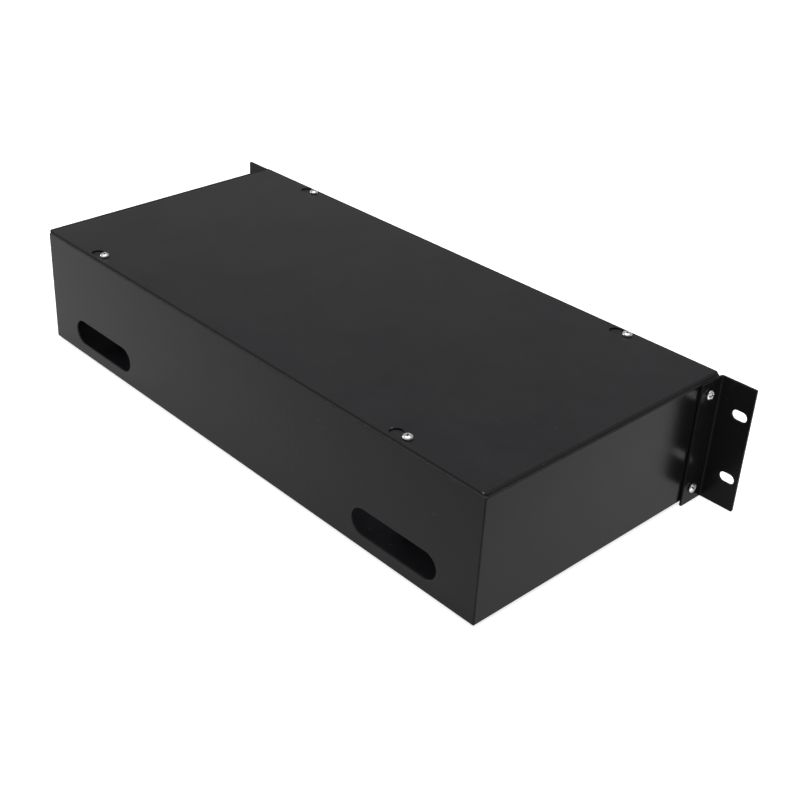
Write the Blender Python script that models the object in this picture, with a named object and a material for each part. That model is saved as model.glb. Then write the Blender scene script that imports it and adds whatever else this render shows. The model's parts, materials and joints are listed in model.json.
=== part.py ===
"""Rack-mount fibre optic terminal box: a folded steel box with a keyhole cover,
rack ears, a front panel of adapters, one splice tray and the cable entry hardware.

Frame: +Z up, +X along the rack width, the adapters face -Y and the cable entries face +Y.
The origin is the centre of the underside of the whole object, with the dust caps on.
"""

import math

import bmesh
import bpy
from mathutils import Matrix, Vector

MM = 0.001

# Clearances
SEAT_GAP = 0.3 * MM
HOLE_CLEARANCE = 0.3 * MM
SNAP_CLEARANCE = 0.25 * MM

# Folded steel box
BODY_WIDTH = 432.0 * MM
BODY_DEPTH = 204.0 * MM
CHASSIS_HEIGHT = 85.5 * MM
SHEET = 1.2 * MM
BEND_RADIUS = 1.6 * MM
SEAM_WIDTH = 0.6 * MM
WELD_LENGTH = 3.0 * MM
WELD_SPREAD = 40.0 * MM
REAR_FLANGE = 14.0 * MM
FRONT_FLANGE = 14.0 * MM
SIDE_FLANGE = 9.0 * MM
MITRE_SLIT = 1.0 * MM
WINDOW_STILE = 20.0 * MM
WINDOW_RAIL = 13.0 * MM

# Cable entries in the rear wall
ENTRY_INSET = 65.0 * MM
ENTRY_LENGTH = 69.5 * MM
ENTRY_HEIGHT = 18.6 * MM
ENTRY_RISE = 18.8 * MM

# Top cover and its keyholes
COVER_SHEET = 1.2 * MM
COVER_CORNER = 3.0 * MM
COVER_SCREW_SIDE_INSET = 64.5 * MM
COVER_SCREW_REAR_INSET = 6.6 * MM
COVER_SCREW_FRONT_INSET = 5.8 * MM
KEYHOLE_PITCH = 8.5 * MM
KEYHOLE_RADIUS = 4.4 * MM

# Small pan head screws of the cover, the ears and the panel
SCREW_RADIUS = 1.5 * MM
SCREW_HEAD_RADIUS = 3.1 * MM
SCREW_HEAD_HEIGHT = 2.3 * MM
SCREW_LENGTH = 6.0 * MM
CROSS_WIDTH = 0.8 * MM
CROSS_DEPTH = 1.1 * MM

# Shape of every pan head, as shares of its radius and its height
CROSS_SPAN_SHARE = 1.15
RIM_HEIGHT_SHARE = 0.4
SHOULDER_RADIUS_SHARE = 0.72
SHOULDER_HEIGHT_SHARE = 0.87

# Rack ears
EAR_FLANGE = 25.0 * MM
EAR_HEIGHT = 87.0 * MM
EAR_SHEET = 1.5 * MM
EAR_DROP = 2.1 * MM
EAR_FORWARD = 2.6 * MM
EAR_LEG = 21.2 * MM
EAR_BEND = 0.6 * MM
EAR_CORNER = 1.0 * MM
EAR_SCREW_SPREAD = 67.0 * MM
EAR_SCREW_SETBACK = 13.3 * MM
RACK_SLOT_INSET = 8.0 * MM
RACK_SLOT_SPREAD_Z = 44.45 * MM
RACK_SLOT_LENGTH = 10.5 * MM
RACK_SLOT_HEIGHT = 6.8 * MM

# Front adapter panel
PANEL_SHEET = 1.5 * MM
PANEL_MARGIN = 0.8 * MM
PANEL_CORNER = 1.5 * MM
PANEL_SCREW_INSET_X = 10.0 * MM
PANEL_SCREW_INSET_Z = 6.5 * MM
ADAPTER_COUNT = 12
ADAPTER_END_MARGIN = 25.0 * MM
ADAPTER_GROUP_GAP = 12.0 * MM

# Adapters, standing upright
PORT_WIDTH = 7.6 * MM
PORT_HEIGHT = 9.2 * MM
PORT_DEPTH = 9.5 * MM
ADAPTER_WIDTH = 9.3 * MM
ADAPTER_HEIGHT = 13.0 * MM
ADAPTER_NOSE = 12.6 * MM
ADAPTER_TAIL = 13.5 * MM
ADAPTER_EDGE = 0.4 * MM
ADAPTER_FLANGE_HEIGHT = 22.4 * MM
ADAPTER_FLANGE_SHEET = 2.0 * MM
ADAPTER_EYE_RADIUS = 1.1 * MM
ADAPTER_EYE_SPREAD = 18.2 * MM
LATCH_LENGTH = 4.0 * MM
LATCH_WIDTH = 4.0 * MM
LATCH_RISE = 0.9 * MM
SLEEVE_RADIUS = 2.3 * MM
SLEEVE_BORE = 1.3 * MM
SLEEVE_RECESS = 5.0 * MM
KEY_SLOT_WIDTH = 2.8 * MM
KEY_SLOT_LENGTH = 6.0 * MM

# Dust caps
CAP_PLATE = 1.4 * MM
CAP_PLATE_MARGIN = 0.4 * MM
CAP_CORNER = 1.5 * MM
CAP_PLUG_LENGTH = 6.0 * MM
CAP_BORE_RADIUS = 3.0 * MM
CAP_GRIP_LENGTH = 5.0 * MM
CAP_GRIP_WIDTH = 3.2 * MM
CAP_GRIP_HEIGHT = 9.0 * MM
CAP_GRIP_NECK = 1.6 * MM

# Splice tray
TRAY_LENGTH = 180.0 * MM
TRAY_WIDTH = 100.0 * MM
TRAY_SETBACK = 8.0 * MM
TRAY_HEIGHT = 12.0 * MM
TRAY_WALL = 1.6 * MM
TRAY_FLOOR = 1.6 * MM
TRAY_CORNER = 14.0 * MM
TRAY_ENTRY_WIDTH = 16.0 * MM
TRAY_ENTRY_INSET = 32.0 * MM
COMB_SLOTS = 12
COMB_PITCH = 3.6 * MM
COMB_RIB = 1.0 * MM
COMB_RIB_HEIGHT = 6.5 * MM
COMB_RIB_LENGTH = 10.0 * MM
COMB_ROWS = 3
COMB_ROW_PITCH = 18.0 * MM
SPOOL_INSET = 46.0 * MM
SPOOL_RADIUS = 24.0 * MM
SPOOL_WALL = 1.4 * MM
SPOOL_HEIGHT = 8.5 * MM
SPOOL_FIN = 5.0 * MM
SPOOL_FIN_SHEET = 1.2 * MM
SPOOL_SEGMENTS = 3
SPOOL_SEGMENT_ANGLE = math.radians(40.0)
SPOOL_SEGMENT_STEP = math.radians(56.0)
FINGER_LENGTH = 8.0 * MM
FINGER_WIDTH = 12.0 * MM
FINGER_SHEET = 1.2 * MM
FINGER_DROP = 0.4 * MM

# Tray lid
LID_SHEET = 1.5 * MM
LID_TAB_WIDTH = 12.0 * MM
LID_TAB_HEIGHT = 5.0 * MM
LID_TAB_SHEET = 1.2 * MM
LID_TAB_INSET = 45.0 * MM
LID_NOTCH_RADIUS = 9.0 * MM
LID_HOLE_RADIUS = 6.0 * MM

# Tray studs and thumb nuts
STUD_INSET = 10.0 * MM
STUD_RADIUS = 2.0 * MM
STUD_TIP = 9.0 * MM
STUD_CHAMFER = 1.0 * MM
STANDOFF_FLATS = 8.0 * MM
STANDOFF_HEIGHT = 6.0 * MM
BOSS_RADIUS = 4.6 * MM
BOSS_HEIGHT = 8.0 * MM
NUT_RADIUS = 4.6 * MM
NUT_HEIGHT = 4.5 * MM
NUT_FLUTES = 12
NUT_FLUTE_DEPTH = 0.4 * MM

# Cable anchors behind the entries
ANCHOR_WIDTH = 46.0 * MM
ANCHOR_FOOT = 18.0 * MM
ANCHOR_HEIGHT = 26.0 * MM
ANCHOR_SHEET = 1.5 * MM
ANCHOR_CORNER = 3.0 * MM
ANCHOR_SETBACK = 30.0 * MM
ANCHOR_SLOT_WIDTH = 3.2 * MM
ANCHOR_SLOT_HEIGHT = 8.0 * MM
ANCHOR_SLOT_PITCH = 12.0 * MM
ANCHOR_SLOTS = 4
ANCHOR_SLOT_RISE = 15.0 * MM

# Strength member posts and their clamp screws
POST_FLATS = 9.0 * MM
POST_HEIGHT = 16.0 * MM
POST_BORE_RADIUS = 1.8 * MM
POST_BORE_RISE = 7.0 * MM
POST_OFFSET = 12.0 * MM
POST_SCREW_RADIUS = 2.0 * MM
POST_SCREW_HEAD_RADIUS = 3.9 * MM
POST_SCREW_HEAD_HEIGHT = 2.6 * MM
POST_SCREW_LENGTH = 6.5 * MM

# Earth stud and nut
EARTH_OFFSET_X = 26.0 * MM
EARTH_OFFSET_Y = 26.0 * MM
EARTH_RADIUS = 3.0 * MM
EARTH_HEIGHT = 16.0 * MM
EARTH_CHAMFER = 1.0 * MM
EARTH_COLLAR_RADIUS = 5.5 * MM
EARTH_COLLAR_HEIGHT = 2.0 * MM
EARTH_NUT_FLATS = 10.0 * MM
EARTH_NUT_HEIGHT = 5.0 * MM

# Facet counts of round work
ARC_STEPS = 7
CORNER_STEPS = 4
HOLE_STEPS = 12
ROUND_STEPS = 12
HEX_STEPS = 6
SLEEVE_STEPS = 10
FLAT_ANGLE = math.radians(0.1)

# Places that follow from the sizes above
OVERLAP = 1.0 * MM
CHASSIS_BOTTOM = EAR_DROP
FLOOR_TOP = CHASSIS_BOTTOM + SHEET
CHASSIS_TOP = CHASSIS_BOTTOM + CHASSIS_HEIGHT
CHASSIS_MID = CHASSIS_BOTTOM + CHASSIS_HEIGHT / 2
COVER_BOTTOM = CHASSIS_TOP + SEAT_GAP
COVER_TOP = COVER_BOTTOM + COVER_SHEET
CAP_SEAT = ADAPTER_NOSE + SEAT_GAP
FRONT_REACH = SEAT_GAP + PANEL_SHEET + CAP_SEAT + CAP_PLATE + CAP_GRIP_LENGTH
Y_REAR = (BODY_DEPTH + FRONT_REACH) / 2
Y_FRONT = Y_REAR - BODY_DEPTH
PANEL_BACK = Y_FRONT - SEAT_GAP
PANEL_FACE = PANEL_BACK - PANEL_SHEET
EAR_FACE = Y_FRONT - EAR_FORWARD
EAR_BACK = EAR_FACE + EAR_SHEET
EAR_INNER = BODY_WIDTH / 2 + SEAT_GAP
EAR_OUTER = EAR_INNER + EAR_FLANGE
RACK_SLOT_X = EAR_OUTER - RACK_SLOT_INSET
ENTRY_X = BODY_WIDTH / 2 - ENTRY_INSET
COVER_SCREW_X = BODY_WIDTH / 2 - COVER_SCREW_SIDE_INSET
ADAPTER_END_X = BODY_WIDTH / 2 - WINDOW_STILE - ADAPTER_END_MARGIN
ADAPTER_PITCH = (2 * ADAPTER_END_X - ADAPTER_GROUP_GAP) / (ADAPTER_COUNT - 1)
TRAY_Y = (Y_FRONT + Y_REAR) / 2 + TRAY_SETBACK
TRAY_ENTRY_X = TRAY_LENGTH / 2 - TRAY_ENTRY_INSET
SPOOL_X = TRAY_LENGTH / 2 - SPOOL_INSET
LID_TAB_X = TRAY_LENGTH / 2 - LID_TAB_INSET
STUD_X = TRAY_LENGTH / 2 - STUD_INSET
TRAY_BOTTOM = FLOOR_TOP + SEAT_GAP + STANDOFF_HEIGHT + SEAT_GAP
LID_BOTTOM = TRAY_BOTTOM + TRAY_HEIGHT + SEAT_GAP
NUT_BOTTOM = TRAY_BOTTOM + BOSS_HEIGHT + SEAT_GAP
ANCHOR_Y = Y_REAR - SHEET - ANCHOR_SETBACK


# Materials: name, colour, roughness, metallic value
FINISHES = {
    "black_powder": ((0.012, 0.012, 0.013), 0.42, 0.0),
    "black_ear": ((0.008, 0.008, 0.008), 0.34, 0.0),
    "zinc_screw": ((0.72, 0.72, 0.70), 0.28, 1.0),
    "nickel_brass": ((0.74, 0.68, 0.50), 0.30, 1.0),
    "adapter_blue": ((0.02, 0.13, 0.55), 0.40, 0.0),
    "cap_white": ((0.78, 0.78, 0.76), 0.50, 0.0),
    "tray_grey": ((0.55, 0.56, 0.56), 0.50, 0.0),
    "lid_clear": ((0.70, 0.74, 0.76), 0.15, 0.0),
    "galvanised": ((0.55, 0.57, 0.58), 0.38, 1.0),
}


def make_material(name):
    colour, roughness, metallic = FINISHES[name]
    material = bpy.data.materials.new(name)
    material.use_nodes = True
    shader = material.node_tree.nodes["Principled BSDF"]
    shader.inputs["Base Color"].default_value = (*colour, 1.0)
    shader.inputs["Roughness"].default_value = roughness
    shader.inputs["Metallic"].default_value = metallic
    return material


def clear_scene():
    for item in list(bpy.data.objects):
        bpy.data.objects.remove(item)


# Outlines: lists of (u, v) points, anticlockwise, with round stretches as arcs


def arc(centre_u, centre_v, radius, start, end, steps):
    points = []
    for i in range(steps + 1):
        angle = start + (end - start) * i / steps
        points.append((centre_u + radius * math.cos(angle), centre_v + radius * math.sin(angle)))
    return points


def circle(centre_u, centre_v, radius, steps):
    turn = 2 * math.pi
    return arc(centre_u, centre_v, radius, 0.0, turn * (steps - 1) / steps, steps - 1)


def polygon_by_flats(centre_u, centre_v, flats, steps):
    return circle(centre_u, centre_v, flats / 2 / math.cos(math.pi / steps), steps)


def rectangle(low_u, low_v, high_u, high_v):
    return [(low_u, low_v), (high_u, low_v), (high_u, high_v), (low_u, high_v)]


def rounded_rectangle(low_u, low_v, high_u, high_v, radius, steps=CORNER_STEPS):
    quarter = math.pi / 2
    points = []
    points += arc(high_u - radius, high_v - radius, radius, 0.0, quarter, steps)
    points += arc(low_u + radius, high_v - radius, radius, quarter, 2 * quarter, steps)
    points += arc(low_u + radius, low_v + radius, radius, 2 * quarter, 3 * quarter, steps)
    points += arc(high_u - radius, low_v + radius, radius, 3 * quarter, 4 * quarter, steps)
    return points


def stadium(centre_u, centre_v, length, height, steps=ARC_STEPS):
    half = (length - height) / 2
    quarter = math.pi / 2
    right = arc(centre_u + half, centre_v, height / 2, -quarter, quarter, steps)
    left = arc(centre_u - half, centre_v, height / 2, quarter, 3 * quarter, steps)
    return right + left


def keyhole(centre_u, centre_v, slot_radius, big_radius, pitch):
    """A round end of big_radius at +u, joined to a narrow slot round the screw."""
    meet = math.asin(slot_radius / big_radius)
    quarter = math.pi / 2
    wide = arc(centre_u + pitch, centre_v, big_radius, meet - math.pi, math.pi - meet, 2 * ARC_STEPS)
    narrow = arc(centre_u, centre_v, slot_radius, quarter, 3 * quarter, ARC_STEPS)
    return wide + narrow


def angle_section(leg_u, leg_v, sheet, inner_bend):
    """An L section: the outer corner at (0, 0), legs along +u and +v, both bend faces round."""
    quarter = math.pi / 2
    outer_bend = inner_bend + sheet
    points = [(leg_u, 0.0), (leg_u, sheet)]
    points += arc(outer_bend, outer_bend, inner_bend, 3 * quarter, 2 * quarter, CORNER_STEPS)
    points += [(sheet, leg_v), (0.0, leg_v)]
    points += arc(outer_bend, outer_bend, outer_bend, 2 * quarter, 3 * quarter, CORNER_STEPS)
    return points


# Solids: closed meshes made from the outlines


def closed_mesh(points, faces):
    mesh = bpy.data.meshes.new("solid")
    mesh.from_pydata([tuple(p) for p in points], [], faces)
    work = bmesh.new()
    work.from_mesh(mesh)
    bmesh.ops.recalc_face_normals(work, faces=work.faces)
    work.to_mesh(mesh)
    work.free()
    return mesh


def prism(outline, axis, start, end):
    """The outline carried along an axis. (u, v) are (x, y), (x, z) or (y, z)."""

    def place(u, v, w):
        if axis == "Z":
            return (u, v, w)
        if axis == "Y":
            return (u, w, v)
        return (w, u, v)

    count = len(outline)
    points = [place(u, v, start) for u, v in outline]
    points += [place(u, v, end) for u, v in outline]
    faces = [list(range(count)), list(range(2 * count - 1, count - 1, -1))]
    for i in range(count):
        j = (i + 1) % count
        faces.append([i, j, count + j, count + i])
    return closed_mesh(points, faces)


def block(low, high):
    return prism(rectangle(low[0], low[1], high[0], high[1]), "Z", low[2], high[2])


def turned(profile, steps):
    """A profile of (radius, height) points turned about Z. Its first and last points lie on Z."""
    points = [(0.0, 0.0, profile[0][1])]
    rings = profile[1:-1]
    for radius, height in rings:
        for i in range(steps):
            angle = 2 * math.pi * i / steps
            points.append((radius * math.cos(angle), radius * math.sin(angle), height))
    points.append((0.0, 0.0, profile[-1][1]))
    top = len(points) - 1
    faces = []
    for i in range(steps):
        j = (i + 1) % steps
        faces.append([0, 1 + j, 1 + i])
        for ring in range(len(rings) - 1):
            low = 1 + ring * steps
            high = low + steps
            faces.append([low + i, low + j, high + j, high + i])
        last = 1 + (len(rings) - 1) * steps
        faces.append([last + i, last + j, top])
    return closed_mesh(points, faces)


def swept_arc(section, start, end):
    """A closed section of (radius, height) points swept about Z from one angle to another."""
    count = len(section)
    points = []
    for i in range(ARC_STEPS + 1):
        angle = start + (end - start) * i / ARC_STEPS
        points += [(r * math.cos(angle), r * math.sin(angle), h) for r, h in section]
    faces = [list(range(count)), list(range(ARC_STEPS * count, (ARC_STEPS + 1) * count))]
    for i in range(ARC_STEPS):
        for j in range(count):
            k = (j + 1) % count
            here = i * count
            there = here + count
            faces.append([here + j, here + k, there + k, there + j])
    return closed_mesh(points, faces)


def merged(meshes):
    """Separate closed solids gathered in one mesh, for one Boolean."""
    work = bmesh.new()
    for mesh in meshes:
        work.from_mesh(mesh)
    result = bpy.data.meshes.new("solids")
    work.to_mesh(result)
    work.free()
    return result


def moved(mesh, offset):
    copy = mesh.copy()
    copy.transform(Matrix.Translation(Vector(offset)))
    return copy


def combine(mesh, other, operation):
    """One exact Boolean between two closed solids."""
    base = bpy.data.objects.new("base", mesh)
    tool = bpy.data.objects.new("tool", other)
    scene = bpy.context.scene.collection
    scene.objects.link(base)
    scene.objects.link(tool)
    modifier = base.modifiers.new("Boolean", "BOOLEAN")
    modifier.operation = operation
    modifier.solver = "EXACT"
    modifier.object = tool
    graph = bpy.context.evaluated_depsgraph_get()
    result = bpy.data.meshes.new_from_object(base.evaluated_get(graph))
    bpy.data.objects.remove(base)
    bpy.data.objects.remove(tool)
    return result


def cut(mesh, *tools):
    return combine(mesh, merged(tools), "DIFFERENCE")


def join(mesh, *parts):
    for part in parts:
        mesh = combine(mesh, part, "UNION")
    return mesh


def bevelled(mesh, width, segments, chosen):
    """Rounds the edges for which chosen(start, end) is true."""
    work = bmesh.new()
    work.from_mesh(mesh)
    edges = [e for e in work.edges if chosen(e.verts[0].co, e.verts[1].co)]
    bmesh.ops.bevel(work, geom=edges, offset=width, segments=segments, profile=0.5, affect="EDGES")
    work.to_mesh(mesh)
    work.free()
    return mesh


def flat_faces_joined(mesh):
    """Neighbouring faces of one plane become one face, and points along a straight edge go."""
    work = bmesh.new()
    work.from_mesh(mesh)
    bmesh.ops.dissolve_limit(
        work, angle_limit=FLAT_ANGLE, use_dissolve_boundaries=False, verts=work.verts, edges=work.edges
    )
    work.to_mesh(mesh)
    work.free()


def add_node(name, mesh, material, location=(0, 0, 0), rotation=(0, 0, 0), parent=None):
    if not mesh.materials:
        flat_faces_joined(mesh)
    node = bpy.data.objects.new(name, mesh)
    bpy.context.scene.collection.objects.link(node)
    if not mesh.materials:
        mesh.materials.append(material)
    node.location = location
    node.rotation_euler = [math.radians(a) for a in rotation]
    node.parent = parent
    return node


def smooth(mesh, degrees=35.0):
    mesh.shade_smooth()
    mesh.set_sharp_from_angle(angle=math.radians(degrees))
    return mesh


def add_empty(name, location):
    empty = bpy.data.objects.new(name, None)
    empty.location = location
    bpy.context.scene.collection.objects.link(empty)
    return empty


# Fasteners


def cross_recess(head_height, width, depth, span):
    """Two crossed blades that cut a driver recess in the top of a head."""
    low = head_height - depth
    high = head_height + OVERLAP
    one = block((-span / 2, -width / 2, low), (span / 2, width / 2, high))
    other = block((-width / 2, -span / 2, low), (width / 2, span / 2, high))
    return join(one, other)


def pan_screw(radius, length, head_radius, head_height):
    """A pan head screw with its seat at z = 0 and its shank down -Z."""
    shoulder = (head_radius * SHOULDER_RADIUS_SHARE, head_height * SHOULDER_HEIGHT_SHARE)
    profile = [(0.0, -length), (radius, -length), (radius, 0.0), (head_radius, 0.0)]
    profile += [(head_radius, head_height * RIM_HEIGHT_SHARE), shoulder, (0.0, head_height)]
    mesh = turned(profile, ROUND_STEPS)
    recess = cross_recess(head_height, CROSS_WIDTH, CROSS_DEPTH, head_radius * CROSS_SPAN_SHARE)
    return smooth(cut(mesh, recess))


def hex_nut(flats, height, bore_radius):
    outer = prism(polygon_by_flats(0, 0, flats, HEX_STEPS), "Z", 0.0, height)
    bore = prism(circle(0, 0, bore_radius, HOLE_STEPS), "Z", -OVERLAP, height + OVERLAP)
    return cut(outer, bore)


# Folded steel box


def is_horizontal(a, b):
    return abs(a.z - b.z) < SEAT_GAP


def chassis_mesh():
    half = BODY_WIDTH / 2
    low = (-half, Y_FRONT, CHASSIS_BOTTOM)
    high = (half, Y_REAR, CHASSIS_TOP)
    shell = bevelled(block(low, high), BEND_RADIUS, 2, is_horizontal)
    inner_low = [c + SHEET for c in low]
    inner_high = [c - SHEET for c in high]
    shell = cut(shell, block(inner_low, inner_high))
    top_opening = block(
        (-half + SIDE_FLANGE, Y_FRONT + FRONT_FLANGE, CHASSIS_MID),
        (half - SIDE_FLANGE, Y_REAR - REAR_FLANGE, CHASSIS_TOP + OVERLAP),
    )
    window = block(
        (-half + WINDOW_STILE, Y_FRONT - OVERLAP, CHASSIS_BOTTOM + WINDOW_RAIL),
        (half - WINDOW_STILE, Y_FRONT + SHEET + OVERLAP, CHASSIS_TOP - WINDOW_RAIL),
    )
    shell = cut(shell, top_opening, window)
    shell = cut(shell, *entry_cutters(), *seam_cutters(), *mitre_cutters())
    return cut(shell, *chassis_hole_cutters())


def entry_cutters():
    cutters = []
    for side in (-1, 1):
        centre_z = CHASSIS_BOTTOM + ENTRY_RISE
        outline = stadium(side * ENTRY_X, centre_z, ENTRY_LENGTH, ENTRY_HEIGHT, 2 * ARC_STEPS)
        cutters.append(prism(outline, "Y", Y_REAR - SHEET - OVERLAP, Y_REAR + OVERLAP))
    return cutters


def seam_cutters():
    """The open corner of two folded walls, bridged by two tack welds."""
    half = BODY_WIDTH / 2
    seam_low = CHASSIS_BOTTOM + 2 * BEND_RADIUS
    seam_high = CHASSIS_TOP - 2 * BEND_RADIUS
    welds = [CHASSIS_MID - WELD_SPREAD / 2, CHASSIS_MID + WELD_SPREAD / 2]
    stops = [seam_low]
    for height in welds:
        stops += [height - WELD_LENGTH / 2, height + WELD_LENGTH / 2]
    stops.append(seam_high)
    cutters = []
    for x in (-half, half):
        for y in (Y_FRONT, Y_REAR):
            for bottom, top in zip(stops[0::2], stops[1::2]):
                low = (x - SEAM_WIDTH, y - SEAM_WIDTH, bottom)
                high = (x + SEAM_WIDTH, y + SEAM_WIDTH, top)
                cutters.append(block(low, high))
    return cutters


def mitre_cutters():
    """Slits where the folded top flanges meet in the corners."""
    half = BODY_WIDTH / 2
    cutters = []
    for side in (-1, 1):
        for y_wall, flange, inward in ((Y_FRONT, FRONT_FLANGE, 1), (Y_REAR, REAR_FLANGE, -1)):
            start_x = half - 2 * BEND_RADIUS
            end_x = half - SIDE_FLANGE - MITRE_SLIT
            start = Vector((side * start_x, y_wall + inward * 2 * BEND_RADIUS, 0))
            end = Vector((side * end_x, y_wall + inward * (flange + MITRE_SLIT), 0))
            along = (end - start).normalized()
            across = Vector((-along.y, along.x, 0)) * MITRE_SLIT / 2
            outline = [start - across, end - across, end + across, start + across]
            points = [(p.x, p.y) for p in outline]
            cutters.append(prism(points, "Z", CHASSIS_TOP - SHEET - OVERLAP, CHASSIS_TOP + OVERLAP))
    return cutters


def cover_screw_places():
    rear = Y_REAR - COVER_SCREW_REAR_INSET
    front = Y_FRONT + COVER_SCREW_FRONT_INSET
    return [(side * COVER_SCREW_X, y) for y in (rear, front) for side in (-1, 1)]


def ear_screw_heights():
    return [CHASSIS_MID - EAR_SCREW_SPREAD / 2, CHASSIS_MID + EAR_SCREW_SPREAD / 2]


def ear_screw_y():
    return EAR_FACE + EAR_SCREW_SETBACK


def panel_screw_places():
    x = BODY_WIDTH / 2 - PANEL_SCREW_INSET_X
    low = CHASSIS_BOTTOM + PANEL_SCREW_INSET_Z
    high = CHASSIS_TOP - PANEL_SCREW_INSET_Z
    return [(side * x, z) for z in (low, high) for side in (-1, 1)]


def chassis_hole_cutters():
    radius = SCREW_RADIUS + HOLE_CLEARANCE
    half = BODY_WIDTH / 2
    cutters = []
    for x, y in cover_screw_places():
        outline = circle(x, y, radius, HOLE_STEPS)
        cutters.append(prism(outline, "Z", CHASSIS_TOP - SHEET - OVERLAP, CHASSIS_TOP + OVERLAP))
    for x, z in panel_screw_places():
        outline = circle(x, z, radius, HOLE_STEPS)
        cutters.append(prism(outline, "Y", Y_FRONT - OVERLAP, Y_FRONT + SHEET + OVERLAP))
    for z in ear_screw_heights():
        outline = circle(ear_screw_y(), z, radius, HOLE_STEPS)
        cutters.append(prism(outline, "X", half - SHEET - OVERLAP, half + OVERLAP))
        cutters.append(prism(outline, "X", -half - OVERLAP, -half + SHEET + OVERLAP))
    return cutters


# Top cover


def cover_mesh():
    """A flat sheet with four keyholes. It slides towards -X and then lifts off."""
    half = BODY_WIDTH / 2
    outline = rounded_rectangle(-half, Y_FRONT, half, Y_REAR, COVER_CORNER)
    sheet = prism(outline, "Z", COVER_BOTTOM, COVER_TOP)
    slot_radius = SCREW_RADIUS + 2 * HOLE_CLEARANCE
    holes = []
    for x, y in cover_screw_places():
        shape = keyhole(x, y, slot_radius, KEYHOLE_RADIUS, KEYHOLE_PITCH)
        holes.append(prism(shape, "Z", COVER_BOTTOM - OVERLAP, COVER_TOP + OVERLAP))
    return cut(sheet, *holes)


# Rack ears


def ear_mesh():
    """The ear on the +X side: a folded angle with two rack slots and two fixing holes."""
    section = angle_section(EAR_FLANGE, EAR_LEG, EAR_SHEET, EAR_BEND)
    section = [(EAR_INNER + u, EAR_FACE + v) for u, v in section]
    ear = prism(section, "Z", 0.0, EAR_HEIGHT)

    def is_outer_corner(a, b):
        outer = min(a.x, b.x) > EAR_OUTER - SEAT_GAP
        behind = min(a.y, b.y) > EAR_FACE + EAR_LEG - SEAT_GAP
        across = abs(a.z - b.z) < SEAT_GAP
        return across and (outer or behind)

    ear = bevelled(ear, EAR_CORNER, 2, is_outer_corner)
    cutters = []
    for z in (EAR_HEIGHT / 2 - RACK_SLOT_SPREAD_Z / 2, EAR_HEIGHT / 2 + RACK_SLOT_SPREAD_Z / 2):
        outline = stadium(RACK_SLOT_X, z, RACK_SLOT_LENGTH, RACK_SLOT_HEIGHT)
        cutters.append(prism(outline, "Y", EAR_FACE - OVERLAP, EAR_BACK + OVERLAP))
    radius = SCREW_RADIUS + HOLE_CLEARANCE
    for z in ear_screw_heights():
        outline = circle(ear_screw_y(), z, radius, HOLE_STEPS)
        cutters.append(prism(outline, "X", EAR_INNER - OVERLAP, EAR_INNER + EAR_SHEET + OVERLAP))
    return cut(ear, *cutters)


def mirrored(mesh):
    """The mesh reflected in the plane x = 0, with its faces turned out again."""
    copy = mesh.copy()
    copy.transform(Matrix.Scale(-1, 4, Vector((1, 0, 0))))
    copy.flip_normals()
    return copy


# Front panel and adapters


def adapter_places():
    """The x of each adapter: two equal groups with a wider gap in the middle."""
    places = []
    for i in range(ADAPTER_COUNT):
        from_middle = i - (ADAPTER_COUNT - 1) / 2
        gap = math.copysign(ADAPTER_GROUP_GAP / 2, from_middle)
        places.append(from_middle * ADAPTER_PITCH + gap)
    return places


def panel_mesh():
    half = BODY_WIDTH / 2 - PANEL_MARGIN
    bottom = CHASSIS_BOTTOM + PANEL_MARGIN
    top = CHASSIS_TOP - PANEL_MARGIN
    outline = rounded_rectangle(-half, bottom, half, top, PANEL_CORNER)
    sheet = prism(outline, "Y", PANEL_FACE, PANEL_BACK)
    hole_half_width = ADAPTER_WIDTH / 2 + SNAP_CLEARANCE
    hole_half_height = ADAPTER_HEIGHT / 2 + SNAP_CLEARANCE
    low_z = CHASSIS_MID - hole_half_height
    high_z = CHASSIS_MID + hole_half_height
    cutters = []
    for x in adapter_places():
        hole = rectangle(x - hole_half_width, low_z, x + hole_half_width, high_z)
        cutters.append(prism(hole, "Y", PANEL_FACE - OVERLAP, PANEL_BACK + OVERLAP))
    for x, z in panel_screw_places():
        hole = circle(x, z, SCREW_RADIUS + HOLE_CLEARANCE, HOLE_STEPS)
        cutters.append(prism(hole, "Y", PANEL_FACE - OVERLAP, PANEL_BACK + OVERLAP))
    return cut(sheet, *cutters)


def adapter_mesh():
    """An adapter with a port at each end. Its origin is the middle of its cut-out, on the panel's face."""
    half_width = ADAPTER_WIDTH / 2
    half_height = ADAPTER_HEIGHT / 2
    body = block((-half_width, -ADAPTER_NOSE, -half_height), (half_width, ADAPTER_TAIL, half_height))

    def is_end_edge(a, b):
        return abs(a.y - b.y) < SEAT_GAP

    body = bevelled(body, ADAPTER_EDGE, 1, is_end_edge)
    flange_half = ADAPTER_FLANGE_HEIGHT / 2
    flange_outline = rectangle(-half_width, -flange_half, half_width, flange_half)
    flange = prism(flange_outline, "Y", -SEAT_GAP - ADAPTER_FLANGE_SHEET, -SEAT_GAP)
    eyes = []
    for side in (-1, 1):
        outline = circle(0.0, side * ADAPTER_EYE_SPREAD / 2, ADAPTER_EYE_RADIUS, SLEEVE_STEPS)
        eyes.append(prism(outline, "Y", -SEAT_GAP - ADAPTER_FLANGE_SHEET - OVERLAP, OVERLAP))
    body = join(body, cut(flange, *eyes), *latch_meshes())
    for end, inward in ((-ADAPTER_NOSE, 1), (ADAPTER_TAIL, -1)):
        body = cut(cut(body, port_pocket(end, inward)), key_slot(end, inward))
    return cut(body, prism(circle(0.0, 0.0, SLEEVE_BORE, SLEEVE_STEPS), "Y", -ADAPTER_NOSE, ADAPTER_TAIL))


def ordered(a, b):
    return (min(a, b), max(a, b))


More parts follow.
